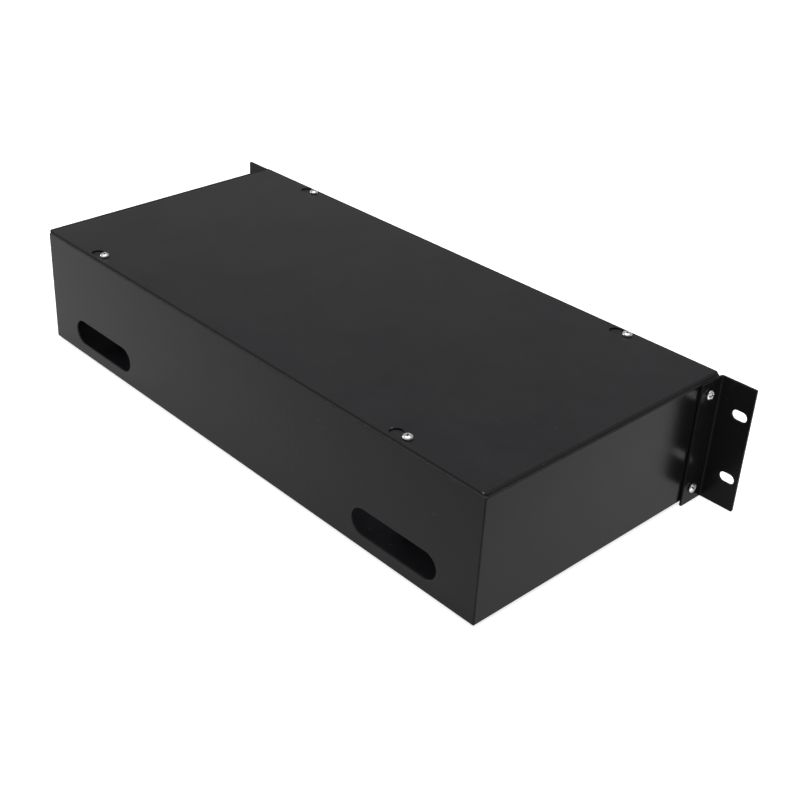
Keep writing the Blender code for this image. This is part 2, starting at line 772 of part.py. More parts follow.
def port_pocket(end, inward):
    """The hollow of one port, less the sleeve that stands in it. A bore runs through the sleeve."""
    near, far = ordered(end - inward * OVERLAP, end + inward * PORT_DEPTH)
    outline = rectangle(-PORT_WIDTH / 2, -PORT_HEIGHT / 2, PORT_WIDTH / 2, PORT_HEIGHT / 2)
    hollow = prism(outline, "Y", near, far)
    low, high = ordered(end + inward * SLEEVE_RECESS, end + inward * (PORT_DEPTH + OVERLAP))
    sleeve = prism(circle(0.0, 0.0, SLEEVE_RADIUS, SLEEVE_STEPS), "Y", low, high)
    return cut(hollow, sleeve)


def key_slot(end, inward):
    """A slot through the port's +X wall, which lets the plug's key in one way round."""
    low, high = ordered(end - inward * OVERLAP, end + inward * KEY_SLOT_LENGTH)
    inside = PORT_WIDTH / 2 - SNAP_CLEARANCE
    outline = rectangle(inside, -KEY_SLOT_WIDTH / 2, ADAPTER_WIDTH / 2 + OVERLAP, KEY_SLOT_WIDTH / 2)
    return prism(outline, "Y", low, high)


def latch_meshes():
    """Two sprung wedges that hold the adapter behind the panel."""
    wedges = []
    for side in (-1, 1):
        root = side * (ADAPTER_HEIGHT / 2 - OVERLAP)
        edge = side * ADAPTER_HEIGHT / 2
        tip = side * (ADAPTER_HEIGHT / 2 + LATCH_RISE)
        start = PANEL_SHEET + SEAT_GAP
        outline = [(start, root), (start, tip), (start + LATCH_LENGTH, edge), (start + LATCH_LENGTH, root)]
        wedges.append(prism(outline, "X", -LATCH_WIDTH / 2, LATCH_WIDTH / 2))
    return wedges


def cap_mesh():
    """A dust cap: a plate, a hollow plug and a waisted grip, in the adapter's frame."""
    half_width = ADAPTER_WIDTH / 2 - CAP_PLATE_MARGIN
    half_height = ADAPTER_HEIGHT / 2 - CAP_PLATE_MARGIN
    outline = rounded_rectangle(-half_width, -half_height, half_width, half_height, CAP_CORNER, 2)
    plate = prism(outline, "Y", -CAP_SEAT - CAP_PLATE, -CAP_SEAT)
    plug_half_width = PORT_WIDTH / 2 - SNAP_CLEARANCE
    plug_half_height = PORT_HEIGHT / 2 - SNAP_CLEARANCE
    plug_outline = rectangle(-plug_half_width, -plug_half_height, plug_half_width, plug_half_height)
    plug = prism(plug_outline, "Y", -CAP_SEAT - CAP_PLATE / 2, -CAP_SEAT + CAP_PLUG_LENGTH)
    bore_end = -CAP_SEAT + CAP_PLUG_LENGTH + OVERLAP
    bore = prism(circle(0.0, 0.0, CAP_BORE_RADIUS, HOLE_STEPS), "Y", -CAP_SEAT, bore_end)
    return join(cut(join(plate, plug), bore), cap_grip_mesh())


def cap_grip_mesh():
    """The grip's section is a waisted bar, thin by the plate and full at its end."""
    root = -CAP_SEAT - CAP_PLATE / 2
    neck = -CAP_SEAT - CAP_PLATE
    end = neck - CAP_GRIP_LENGTH
    waist = (neck + end) / 2
    thin = CAP_GRIP_NECK / 2
    full = CAP_GRIP_WIDTH / 2
    right_side = [(full, root), (full, neck), (thin, waist), (full, end)]
    left_side = [(-x, y) for x, y in reversed(right_side)]
    return prism(right_side + left_side, "Z", -CAP_GRIP_HEIGHT / 2, CAP_GRIP_HEIGHT / 2)


# Splice tray


def tray_mesh():
    """A moulded tray in its own frame: its underside at z = 0 and its middle at the origin."""
    half_length = TRAY_LENGTH / 2
    half_width = TRAY_WIDTH / 2
    outer = rounded_rectangle(-half_length, -half_width, half_length, half_width, TRAY_CORNER)
    inner_radius = TRAY_CORNER - TRAY_WALL
    inner_length = half_length - TRAY_WALL
    inner_width = half_width - TRAY_WALL
    inner = rounded_rectangle(-inner_length, -inner_width, inner_length, inner_width, inner_radius)
    tray = prism(outer, "Z", 0.0, TRAY_HEIGHT)
    tray = cut(tray, prism(inner, "Z", TRAY_FLOOR, TRAY_HEIGHT + OVERLAP))
    tray = cut(tray, *tray_entry_cutters())
    tray = combine(tray, merged(comb_ribs()), "UNION")
    tray = join(tray, *spool_meshes(), *finger_meshes(), *boss_meshes())
    bores = []
    for side in (-1, 1):
        outline = circle(side * STUD_X, 0.0, STUD_RADIUS + HOLE_CLEARANCE, HOLE_STEPS)
        bores.append(prism(outline, "Z", -OVERLAP, BOSS_HEIGHT + OVERLAP))
    return cut(tray, *bores)


def tray_entry_cutters():
    cutters = []
    for side in (-1, 1):
        middle = side * TRAY_ENTRY_X
        for edge in (-1, 1):
            wall = edge * TRAY_WIDTH / 2
            low = (middle - TRAY_ENTRY_WIDTH / 2, wall - TRAY_WALL - OVERLAP, TRAY_FLOOR)
            high = (middle + TRAY_ENTRY_WIDTH / 2, wall + TRAY_WALL + OVERLAP, TRAY_HEIGHT + OVERLAP)
            cutters.append(block(low, high))
    return cutters


def comb_ribs():
    """Rows of thin ribs. Each gap between two ribs holds one splice protector."""
    ribs = []
    for row in range(COMB_ROWS):
        x = (row - (COMB_ROWS - 1) / 2) * COMB_ROW_PITCH
        for i in range(COMB_SLOTS + 1):
            y = (i - COMB_SLOTS / 2) * COMB_PITCH
            low = (x - COMB_RIB_LENGTH / 2, y - COMB_RIB / 2, TRAY_FLOOR / 2)
            high = (x + COMB_RIB_LENGTH / 2, y + COMB_RIB / 2, TRAY_FLOOR + COMB_RIB_HEIGHT)
            ribs.append(block(low, high))
    return ribs


def spool_meshes():
    """At each end, arcs of wall that keep the fibre's bend wide, with a fin that holds it down."""
    fin_top = TRAY_FLOOR + SPOOL_HEIGHT
    fin_bottom = fin_top - SPOOL_FIN_SHEET
    inside = SPOOL_RADIUS - SPOOL_WALL
    outside = SPOOL_RADIUS + SPOOL_FIN
    section = [(inside, TRAY_FLOOR / 2), (SPOOL_RADIUS, TRAY_FLOOR / 2), (SPOOL_RADIUS, fin_bottom)]
    section += [(outside, fin_bottom), (outside, fin_top), (inside, fin_top)]
    parts = []
    for side in (-1, 1):
        facing = 0.0 if side > 0 else math.pi
        for i in range(SPOOL_SEGMENTS):
            middle = facing + (i - (SPOOL_SEGMENTS - 1) / 2) * SPOOL_SEGMENT_STEP
            start = middle - SPOOL_SEGMENT_ANGLE / 2
            end = middle + SPOOL_SEGMENT_ANGLE / 2
            parts.append(moved(swept_arc(section, start, end), (side * SPOOL_X, 0, 0)))
    return parts


def finger_meshes():
    """Flat fingers from the long walls that hold the fibre loops down."""
    top = TRAY_HEIGHT - FINGER_DROP
    fingers = []
    for edge in (-1, 1):
        wall = edge * (TRAY_WIDTH / 2 - TRAY_WALL / 2)
        tip = wall - edge * FINGER_LENGTH
        low_y, high_y = ordered(wall, tip)
        for side in (-1, 0, 1):
            x = side * (TRAY_ENTRY_X - TRAY_ENTRY_WIDTH - FINGER_WIDTH / 2)
            low = (x - FINGER_WIDTH / 2, low_y, top - FINGER_SHEET)
            high = (x + FINGER_WIDTH / 2, high_y, top)
            fingers.append(block(low, high))
    return fingers


def boss_meshes():
    bosses = []
    for side in (-1, 1):
        outline = circle(side * STUD_X, 0.0, BOSS_RADIUS, ROUND_STEPS)
        bosses.append(prism(outline, "Z", TRAY_FLOOR / 2, BOSS_HEIGHT))
    return bosses


def lid_mesh():
    """A clear plate with clip tabs down the long sides, in its own frame with its underside at z = 0."""
    half_length = TRAY_LENGTH / 2
    half_width = TRAY_WIDTH / 2
    outline = rounded_rectangle(-half_length, -half_width, half_length, half_width, TRAY_CORNER)
    lid = prism(outline, "Z", 0.0, LID_SHEET)
    for side in (-1, 1):
        x = side * LID_TAB_X
        for edge in (-1, 1):
            inner = edge * (half_width + SEAT_GAP)
            outer = inner + edge * LID_TAB_SHEET
            low_y, high_y = ordered(inner, outer)
            low_x = x - LID_TAB_WIDTH / 2
            high_x = x + LID_TAB_WIDTH / 2
            hanging = block((low_x, low_y, -LID_TAB_HEIGHT), (high_x, high_y, LID_SHEET))
            reach_low, reach_high = ordered(inner - edge * OVERLAP, outer)
            top = block((low_x, reach_low, 0.0), (high_x, reach_high, LID_SHEET))
            lid = join(lid, join(top, hanging))
    cutters = []
    for side in (-1, 1):
        outline = circle(side * STUD_X, 0.0, LID_HOLE_RADIUS, 2 * HOLE_STEPS)
        cutters.append(prism(outline, "Z", -OVERLAP, LID_SHEET + OVERLAP))
    notch = circle(0.0, -half_width - LID_NOTCH_RADIUS / 2, LID_NOTCH_RADIUS, 2 * HOLE_STEPS)
    cutters.append(prism(notch, "Z", -OVERLAP, LID_SHEET + OVERLAP))
    return cut(lid, *cutters)


def stud_mesh():
    """A hexagonal standoff with a threaded pin above it, from z = 0."""
    pin_top = STANDOFF_HEIGHT + SEAT_GAP + BOSS_HEIGHT + STUD_TIP
    base = prism(polygon_by_flats(0, 0, STANDOFF_FLATS, HEX_STEPS), "Z", 0.0, STANDOFF_HEIGHT)
    profile = [(0.0, STANDOFF_HEIGHT / 2), (STUD_RADIUS, STANDOFF_HEIGHT / 2)]
    profile += [(STUD_RADIUS, pin_top - STUD_CHAMFER), (STUD_RADIUS - STUD_CHAMFER, pin_top)]
    profile += [(0.0, pin_top)]
    return smooth(join(base, turned(profile, ROUND_STEPS)))


def thumb_nut_mesh():
    """A fluted nut: the radius falls and rises once for each flute."""
    outline = []
    for i in range(2 * NUT_FLUTES):
        radius = NUT_RADIUS - NUT_FLUTE_DEPTH * (i % 2)
        angle = math.pi * i / NUT_FLUTES
        outline.append((radius * math.cos(angle), radius * math.sin(angle)))
    nut = prism(outline, "Z", 0.0, NUT_HEIGHT)
    bore_outline = circle(0, 0, STUD_RADIUS + HOLE_CLEARANCE, HOLE_STEPS)
    return cut(nut, prism(bore_outline, "Z", -OVERLAP, NUT_HEIGHT + OVERLAP))


# Cable entry hardware


def anchor_mesh():
    """A folded bracket, its foot on the floor and its upright slotted for cable ties."""
    section = angle_section(ANCHOR_FOOT, ANCHOR_HEIGHT, ANCHOR_SHEET, EAR_BEND)
    bracket = prism([(-u, v) for u, v in section], "X", -ANCHOR_WIDTH / 2, ANCHOR_WIDTH / 2)

    def is_free_corner(a, b):
        top = min(a.z, b.z) > ANCHOR_HEIGHT - SEAT_GAP
        end = max(a.y, b.y) < SEAT_GAP - ANCHOR_FOOT
        side = abs(a.x - b.x) < SEAT_GAP
        return side and (top or end)

    bracket = bevelled(bracket, ANCHOR_CORNER, 2, is_free_corner)
    lying = stadium(0, 0, ANCHOR_SLOT_HEIGHT, ANCHOR_SLOT_WIDTH, CORNER_STEPS)
    cutters = []
    for i in range(ANCHOR_SLOTS):
        x = (i - (ANCHOR_SLOTS - 1) / 2) * ANCHOR_SLOT_PITCH
        upright = [(x + v, ANCHOR_SLOT_RISE + u) for u, v in reversed(lying)]
        cutters.append(prism(upright, "Y", -ANCHOR_SHEET - OVERLAP, OVERLAP))
    return cut(bracket, *cutters)


def post_mesh():
    """A hexagonal post with a cross bore for the strength member and a screw hole down from its top."""
    post = prism(polygon_by_flats(0, 0, POST_FLATS, HEX_STEPS), "Z", 0.0, POST_HEIGHT)
    bore = prism(circle(0.0, POST_BORE_RISE, POST_BORE_RADIUS, HOLE_STEPS), "Y", -POST_FLATS, POST_FLATS)
    hole_radius = POST_SCREW_RADIUS + HOLE_CLEARANCE
    hole = prism(circle(0.0, 0.0, hole_radius, HOLE_STEPS), "Z", POST_BORE_RISE, POST_HEIGHT + OVERLAP)
    return cut(cut(post, bore), hole)


def earth_stud_mesh():
    profile = [(0.0, 0.0), (EARTH_COLLAR_RADIUS, 0.0), (EARTH_COLLAR_RADIUS, EARTH_COLLAR_HEIGHT)]
    profile += [(EARTH_RADIUS, EARTH_COLLAR_HEIGHT), (EARTH_RADIUS, EARTH_HEIGHT - EARTH_CHAMFER)]
    profile += [(EARTH_RADIUS - EARTH_CHAMFER, EARTH_HEIGHT), (0.0, EARTH_HEIGHT)]
    return smooth(turned(profile, ROUND_STEPS))


# Assembly


def add_shell(materials):
    add_node("chassis", chassis_mesh(), materials["black_powder"])
    lift = add_empty("cover_lift_axis", (0, 0, 0))
    slide = add_empty("cover_slide_axis", (0, 0, 0))
    slide.parent = lift
    add_node("top_cover", cover_mesh(), materials["black_powder"], parent=slide)
    screw = pan_screw(SCREW_RADIUS, SCREW_LENGTH, SCREW_HEAD_RADIUS, SCREW_HEAD_HEIGHT)
    for number, (x, y) in enumerate(cover_screw_places(), 1):
        place = (x, y, COVER_TOP + SEAT_GAP)
        add_node(f"cover_screw_{number}", screw, materials["zinc_screw"], place, parent=lift)
    return screw


def add_ears(materials, screw):
    ear = ear_mesh()
    add_node("rack_ear_right", ear, materials["black_ear"])
    add_node("rack_ear_left", mirrored(ear), materials["black_ear"])
    seat = EAR_INNER + EAR_SHEET + SEAT_GAP
    places = [(side, z) for side in (-1, 1) for z in ear_screw_heights()]
    for number, (side, z) in enumerate(places, 1):
        place = (side * seat, ear_screw_y(), z)
        add_node(f"ear_screw_{number}", screw, materials["zinc_screw"], place, (0, side * 90, 0))


def add_front(materials, screw):
    add_node("adapter_panel", panel_mesh(), materials["black_powder"])
    for number, (x, z) in enumerate(panel_screw_places(), 1):
        place = (x, PANEL_FACE - SEAT_GAP, z)
        add_node(f"panel_screw_{number}", screw, materials["zinc_screw"], place, (90, 0, 0))
    adapter = adapter_mesh()
    cap = cap_mesh()
    for number, x in enumerate(adapter_places(), 1):
        place = (x, PANEL_FACE, CHASSIS_MID)
        add_node(f"adapter_{number:02d}", adapter, materials["adapter_blue"], place)
        add_node(f"dust_cap_{number:02d}", cap, materials["cap_white"], place)


def add_tray(materials):
    add_node("splice_tray", tray_mesh(), materials["tray_grey"], (0, TRAY_Y, TRAY_BOTTOM))
    add_node("tray_lid", lid_mesh(), materials["lid_clear"], (0, TRAY_Y, LID_BOTTOM))
    stud = stud_mesh()
    nut = thumb_nut_mesh()
    for name, side in (("left", -1), ("right", 1)):
        x = side * STUD_X
        add_node(f"tray_stud_{name}", stud, materials["nickel_brass"], (x, TRAY_Y, FLOOR_TOP + SEAT_GAP))
        add_node(f"tray_nut_{name}", nut, materials["nickel_brass"], (x, TRAY_Y, NUT_BOTTOM))


def add_cable_hardware(materials):
    anchor = anchor_mesh()
    post = post_mesh()
    screw = pan_screw(POST_SCREW_RADIUS, POST_SCREW_LENGTH, POST_SCREW_HEAD_RADIUS, POST_SCREW_HEAD_HEIGHT)
    foot = FLOOR_TOP + SEAT_GAP
    post_y = ANCHOR_Y - ANCHOR_FOOT - POST_OFFSET
    for name, side in (("left", -1), ("right", 1)):
        x = side * ENTRY_X
        add_node(f"cable_anchor_{name}", anchor, materials["galvanised"], (x, ANCHOR_Y, foot))
        add_node(f"strength_post_{name}", post, materials["nickel_brass"], (x, post_y, foot))
        top = foot + POST_HEIGHT + SEAT_GAP
        add_node(f"post_screw_{name}", screw, materials["zinc_screw"], (x, post_y, top))
    earth_x = -BODY_WIDTH / 2 + EARTH_OFFSET_X
    earth_y = Y_REAR - EARTH_OFFSET_Y
    add_node("earth_stud", earth_stud_mesh(), materials["nickel_brass"], (earth_x, earth_y, foot))
    nut = hex_nut(EARTH_NUT_FLATS, EARTH_NUT_HEIGHT, EARTH_RADIUS + HOLE_CLEARANCE)
    nut_z = foot + EARTH_COLLAR_HEIGHT + SEAT_GAP
    add_node("earth_nut", nut, materials["nickel_brass"], (earth_x, earth_y, nut_z))


def main():
    clear_scene()
    materials = {name: make_material(name) for name in FINISHES}
    screw = add_shell(materials)
    add_ears(materials, screw)
    add_front(materials, screw)
    add_tray(materials)
    add_cable_hardware(materials)


main()
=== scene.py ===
import json
import math
import bmesh
import bpy
import numpy as np
from mathutils import Matrix, Vector
from mathutils.geometry import delaunay_2d_cdt

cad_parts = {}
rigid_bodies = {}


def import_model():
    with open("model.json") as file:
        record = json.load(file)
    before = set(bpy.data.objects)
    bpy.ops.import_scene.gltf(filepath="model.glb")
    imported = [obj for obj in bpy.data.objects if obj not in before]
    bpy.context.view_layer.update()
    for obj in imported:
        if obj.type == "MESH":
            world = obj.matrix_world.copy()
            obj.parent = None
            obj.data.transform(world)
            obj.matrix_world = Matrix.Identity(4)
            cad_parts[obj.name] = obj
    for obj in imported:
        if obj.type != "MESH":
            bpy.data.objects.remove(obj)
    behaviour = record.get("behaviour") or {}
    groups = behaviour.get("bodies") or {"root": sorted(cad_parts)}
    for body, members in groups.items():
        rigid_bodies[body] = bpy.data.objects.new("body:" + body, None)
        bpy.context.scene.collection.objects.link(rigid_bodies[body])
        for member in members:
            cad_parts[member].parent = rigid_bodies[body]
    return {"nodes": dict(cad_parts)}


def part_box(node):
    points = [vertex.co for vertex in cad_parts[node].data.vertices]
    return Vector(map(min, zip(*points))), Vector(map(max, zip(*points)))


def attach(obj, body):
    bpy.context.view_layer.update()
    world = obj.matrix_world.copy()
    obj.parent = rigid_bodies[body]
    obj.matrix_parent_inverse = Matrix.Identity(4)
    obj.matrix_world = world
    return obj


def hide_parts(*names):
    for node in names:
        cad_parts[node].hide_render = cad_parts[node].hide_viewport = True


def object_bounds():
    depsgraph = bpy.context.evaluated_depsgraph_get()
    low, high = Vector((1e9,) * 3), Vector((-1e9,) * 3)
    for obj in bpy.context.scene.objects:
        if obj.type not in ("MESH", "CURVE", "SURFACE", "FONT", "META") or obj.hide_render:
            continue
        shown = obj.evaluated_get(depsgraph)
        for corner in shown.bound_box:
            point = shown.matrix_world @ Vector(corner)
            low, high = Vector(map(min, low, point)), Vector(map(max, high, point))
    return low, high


for oldThing in list(bpy.data.objects):
    bpy.data.objects.remove(oldThing)

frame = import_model()
solidBounds = [list(corner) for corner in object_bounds()]
mm = 0.001
quarter = math.pi / 2
print("frame loaded:", len(frame["nodes"]), "nodes")


def boxOf(node):
    low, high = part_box(node)
    return np.array(low), np.array(high)


def middleOf(node):
    low, high = boxOf(node)
    return (low + high) / 2


bodyLow, bodyHigh = boxOf("chassis")
boxMiddle = (bodyLow + bodyHigh) / 2
coverLow, coverHigh = boxOf("top_cover")


# The camera stands behind and above the near rear corner, rolled a little.
# Its place is measured from the middle of the folded box, its rear face and its underside.
view = dict(
    left=571.5 * mm, behind=428.4 * mm, above=468.2 * mm,
    heading=-40.973, dip=29.827, roll=1.107,
    sensor=36.0, lens=58.752, shiftX=0.1112, shiftY=-0.0265,
)


def addCamera():
    # level and looking along +y, the camera turns to its heading, dips and rolls
    heading, dip, roll = (math.radians(view[key]) for key in ("heading", "dip", "roll"))
    turn = (Matrix.Rotation(heading - quarter, 4, "Z") @ Matrix.Rotation(quarter - dip, 4, "X")
            @ Matrix.Rotation(roll, 4, "Z"))
    data = bpy.data.cameras.new("camera")
    data.sensor_width, data.lens = view["sensor"], view["lens"]
    data.shift_x, data.shift_y = view["shiftX"], view["shiftY"]
    data.clip_start = 10 * mm
    camera = bpy.data.objects.new("camera", data)
    place = (boxMiddle[0] - view["left"], bodyHigh[1] + view["behind"], bodyLow[2] + view["above"])
    camera.matrix_world = Matrix.Translation(place) @ turn
    bpy.context.scene.collection.objects.link(camera)
    bpy.context.scene.camera = camera


addCamera()
print("camera placed")


# every outline is an array of (u, v) points

def smoothStep(low, high, value):
    # 0 below low, 1 above high, and 3 t^2 - 2 t^3 between them
    t = np.clip((value - low) / (high - low), 0, 1)
    return t * t * (3 - 2 * t)


def arcPoints(centre, radius, start, end, steps):
    # centre + radius * (cos a, sin a), a running evenly from start to end
    angle = np.linspace(start, end, steps + 1)
    return np.stack([centre[0] + radius * np.cos(angle), centre[1] + radius * np.sin(angle)], 1)


def circleOutline(centre, radius, steps=32):
    # steps points evenly round the centre
    return arcPoints(centre, radius, 0, 2 * math.pi * (steps - 1) / steps, steps - 1)


def stadiumOutline(centre, length, height, steps=24):
    # two half circles of the height's half, their centres length minus height apart
    half = (length - height) / 2
    right = arcPoints((centre[0] + half, centre[1]), height / 2, -quarter, quarter, steps)
    left = arcPoints((centre[0] - half, centre[1]), height / 2, quarter, 3 * quarter, steps)
    return np.concatenate([right, left])


def keyholeOutline(centre, slotRadius, wideRadius, pitch, steps=24):
    # a wide circle at +u and a narrow half circle at the centre, joined by the slot's straight sides
    meet = math.asin(slotRadius / wideRadius)
    wide = arcPoints((centre[0] + pitch, centre[1]), wideRadius, meet - math.pi, math.pi - meet, 2 * steps)
    narrow = arcPoints(centre, slotRadius, quarter, 3 * quarter, steps)
    return np.concatenate([wide, narrow])


def rectangleOutline(low, high, radius, steps=6):
    # a quarter circle at each corner, its centre a radius inside both sides
    (left, bottom), (right, top) = np.array(low) + radius, np.array(high) - radius
    centres = ((left, bottom), (right, bottom), (right, top), (left, top))
    return np.concatenate([
        arcPoints(centre, radius, (k + 2) * quarter, (k + 3) * quarter, steps) for k, centre in enumerate(centres)])


def turnedRound(points, anticlockwise):
    # the area is half the sum of the cross products of neighbouring points, above 0 if they run anticlockwise
    after = np.roll(points, -1, 0)
    area = np.sum(points[:, 0] * after[:, 1] - points[:, 1] * after[:, 0]) / 2
    return points if (area > 0) == anticlockwise else points[::-1].copy()


def splitAt(points, axis, values):
    # a point is added wherever an edge crosses one of the values of that coordinate
    result = []
    for here in range(len(points)):
        a, b = points[here], points[(here + 1) % len(points)]
        result.append(a)
        span = b[axis] - a[axis]
        if abs(span) < 1e-9:
            continue
        shares = [(value - a[axis]) / span for value in values]
        for share in sorted(s for s in shares if 1e-6 < s < 1 - 1e-6):
            result.append(a + (b - a) * share)
    return np.array(result)


def insetOutline(points, distance):
    # each point moves towards the metal, to the left of the way round, along its edges' mitre
    before = points - np.roll(points, 1, 0)
    after = np.roll(points, -1, 0) - points
    before /= np.linalg.norm(before, axis=1)[:, None]
    after /= np.linalg.norm(after, axis=1)[:, None]
    normals = [np.stack([-side[:, 1], side[:, 0]], 1) for side in (before, after)]
    mitre = normals[0] + normals[1]
    mitre /= np.linalg.norm(mitre, axis=1)[:, None]
    stretch = 1 / np.clip(np.sum(mitre * normals[0], 1), 0.3, 1)
    return points + mitre * (distance * stretch)[:, None]


def gridQuads(rows, columns, closedRows=False, closedColumns=False):
    # quads between neighbouring rows and columns of points that lie row after row
    i = np.arange(rows if closedRows else rows - 1)[:, None]
    j = np.arange(columns if closedColumns else columns - 1)[None, :]
    nextI, nextJ = (i + 1) % rows, (j + 1) % columns
    corners = [i * columns + j, i * columns + nextJ, nextI * columns + nextJ, nextI * columns + j]
    return np.stack(np.broadcast_arrays(*corners), -1).reshape(-1, 4)


def ringsAbout(radius, height, around):
    # rows of points about the z axis: around points to a turn, at each radius and height
    radius, height, angle = np.broadcast_arrays(radius, height, np.arange(around) * 2 * math.pi / around)
    return np.stack([radius * np.cos(angle), radius * np.sin(angle), height], -1)


def cappedRings(rings, around):
    # quads between rings of points, and a fan from the first and the last ring to the two points after them all
    faces = gridQuads(rings, around, closedColumns=True).tolist()
    first = rings * around
    for pole, ring in ((first, 0), (first + 1, first - around)):
        faces += [[pole, ring + k, ring + (k + 1) % around] for k in range(around)]
    return faces


def insideOutlines(points, outlines):
    # even-odd rule: a point is in the metal if a ray to +u crosses the outlines an odd number of times
    crossings = np.zeros(len(points), int)
    for outline in outlines:
        after = np.roll(outline, -1, 0)
        for a, b in zip(outline, after):
            spans = (a[1] > points[:, 1]) != (b[1] > points[:, 1])
            if spans.any():
                crossing = a[0] + (points[:, 1] - a[1]) / (b[1] - a[1] + 1e-15) * (b[0] - a[0])
                crossings += spans & (points[:, 0] < crossing)
    return crossings % 2 == 1


def creaseEdges(outlines, creases):
    # pairs of neighbouring outline points on each crease, with metal between them. A crease is
    # an axis, its place on it, and how far it reaches to each side of the blank's middle.
    points = np.concatenate(outlines)
    edges = []
    for axis, value, reach in creases:
        onLine = (np.abs(points[:, axis] - value) < 1e-7) & (np.abs(points[:, 1 - axis]) <= reach)
        onLine = np.nonzero(onLine)[0]
        onLine = onLine[np.argsort(points[onLine, 1 - axis])]
        for a, b in zip(onLine[:-1], onLine[1:]):
            middle = (points[a] + points[b])[None, :] / 2
            if insideOutlines(middle + 1e-8, outlines)[0]:
                edges.append((int(a), int(b)))
    return edges


def flatTriangles(outlines, edges):
    # the Delaunay triangles between the outlines that keep the given edges, without the holes
    points = np.concatenate(outlines)
    start = 0
    for outline in outlines:
        count = len(outline)
        edges = edges + [(start + k, start + (k + 1) % count) for k in range(count)]
        start += count
    flat = [Vector(p) for p in points.tolist()]
    spots, _, triangles, origins, _, _ = delaunay_2d_cdt(flat, edges, [], 0, 1e-9, True)
    crossings = [tuple(spot) for spot, origin in zip(spots, origins) if not origin]
    if crossings:
        raise ValueError(f"outlines or creases of a sheet cross at {crossings}")
    source = np.array([origin[0] for origin in origins])
    triangles = np.array(triangles)
    middles = np.array([tuple(p) for p in spots])[triangles].mean(1)
    return source[triangles[insideOutlines(middles, outlines)]]


def sheetSurface(outlines, thickness, rim, fold, creases=(), rimSteps=4):
    # A sheet: both flat faces are the outlines drawn in by the rim's radius, and the cut edge
    # between them runs a quarter circle, straight through the thickness, and a quarter circle.
    # Every point (u, v, depth under the outer face) then goes through fold.
    outlines = [turnedRound(outlines[0], True)] + [turnedRound(o, False) for o in outlines[1:]]
    for axis in (0, 1):
        values = [value for lineAxis, value, reach in creases if lineAxis == axis]
        outlines = [splitAt(o, axis, values) for o in outlines]
    angle = np.linspace(0, quarter, rimSteps + 1)
    insets = np.concatenate([rim * (1 - np.sin(angle)), rim * (1 - np.cos(angle))])
    depths = np.concatenate([-rim * (1 - np.cos(angle)), -thickness + rim * (1 - np.sin(angle))])
    edgeMask = np.sin(np.concatenate([angle, quarter - angle]))
    rings = [np.concatenate([insetOutline(o, inset) for o in outlines]) for inset in insets]
    count = len(rings[0])
    flat = np.concatenate(rings)
    depth = np.repeat(depths, count)
    triangles = flatTriangles([insetOutline(o, rim) for o in outlines], creaseEdges(outlines, creases))
    faces = triangles.tolist() + (triangles[:, ::-1] + count * (len(rings) - 1)).tolist()
    start = 0
    for outline in outlines:
        quads = gridQuads(len(rings), len(outline), closedColumns=True)
        ring, along = quads // len(outline), quads % len(outline)
        faces += (ring * count + start + along).tolist()
        start += len(outline)
    points = fold(flat[:, 0], flat[:, 1], depth)
    return points, faces, np.repeat(edgeMask, count)


def joined(parts):
    # several (points, faces, mask) surfaces as one
    points, faces, masks, start = [], [], [], 0
    for partPoints, partFaces, partMask in parts:
        points.append(partPoints)
        masks.append(np.broadcast_to(partMask, len(partPoints)))
        faces += [[start + k for k in face] for face in partFaces]
        start += len(partPoints)
    return np.concatenate(points), faces, np.concatenate(masks)


def addPiece(name, surface, material, body, replaced=(), weighted=True):
    # a mesh from a surface, smooth, with its mask in the attribute that the coats read
    points, faces, mask = surface
    mesh = bpy.data.meshes.new(name)
    mesh.from_pydata(points.tolist(), [], [list(map(int, face)) for face in faces])
    mask = np.ascontiguousarray(np.broadcast_to(mask, len(points)), dtype=np.float32)
    mesh.attributes.new("edge", "FLOAT", "POINT").data.foreach_set("value", mask)
    closeAndTurnOut(mesh, 0.0001 * mm)
    return dressPiece(name, mesh, material, body, replaced, weighted)


def closeAndTurnOut(mesh, gap, flatAngle=None):
    # points closer than gap are merged, triangles within flatAngle of one plane joined, and faces turned out
    work = bmesh.new()
    work.from_mesh(mesh)
    bmesh.ops.remove_doubles(work, verts=work.verts, dist=gap)
    if flatAngle:
        bmesh.ops.dissolve_limit(work, angle_limit=flatAngle, verts=work.verts, edges=work.edges)
    bmesh.ops.recalc_face_normals(work, faces=work.faces)
    work.to_mesh(mesh)
    work.free()
    mesh.shade_smooth()


def dressPiece(name, mesh, material, body, replaced, weighted):
    # the object, its material and normals, and what it rides on and stands for
    piece = bpy.data.objects.new(name, mesh)
    bpy.context.scene.collection.objects.link(piece)
    mesh.materials.clear()
    mesh.materials.append(material)
    if weighted:
        modifier = piece.modifiers.new("weighted normals", "WEIGHTED_NORMAL")
        modifier.mode = "FACE_AREA"
        modifier.weight = 50
    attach(piece, body)
    if replaced:
        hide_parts(*replaced)
    return piece


def roundedCopy(node, material, body, width):
    # the solid's own mesh, merged, its sharp edges rounded by a bevel; the piece of dust_cap_01 is dustCap01
    first, *rest = node.split("_")
    name = first + "".join(word.capitalize() for word in rest)
    mesh = bpy.data.objects[node].data.copy()
    mesh.name = name
    closeAndTurnOut(mesh, 0.002 * mm, math.radians(1))
    piece = dressPiece(name, mesh, material, body, [node], False)
    bevel = piece.modifiers.new("bevel", "BEVEL")
    bevel.width = width
    bevel.segments = 2
    bevel.limit_method = "ANGLE"
    bevel.angle_limit = math.radians(35)
    bevel.harden_normals = True


def addNode(tree, kind, inputs=None, **settings):
    # the settings come first, because a group's sockets come with its tree; a socket as a value is linked
    node = tree.nodes.new(kind)
    for key, value in settings.items():
        setattr(node, key, value)
    for key, value in (inputs or {}).items():
        if isinstance(value, bpy.types.NodeSocket):
            tree.links.new(value, node.inputs[key])
        else:
            node.inputs[key].default_value = value
    return node


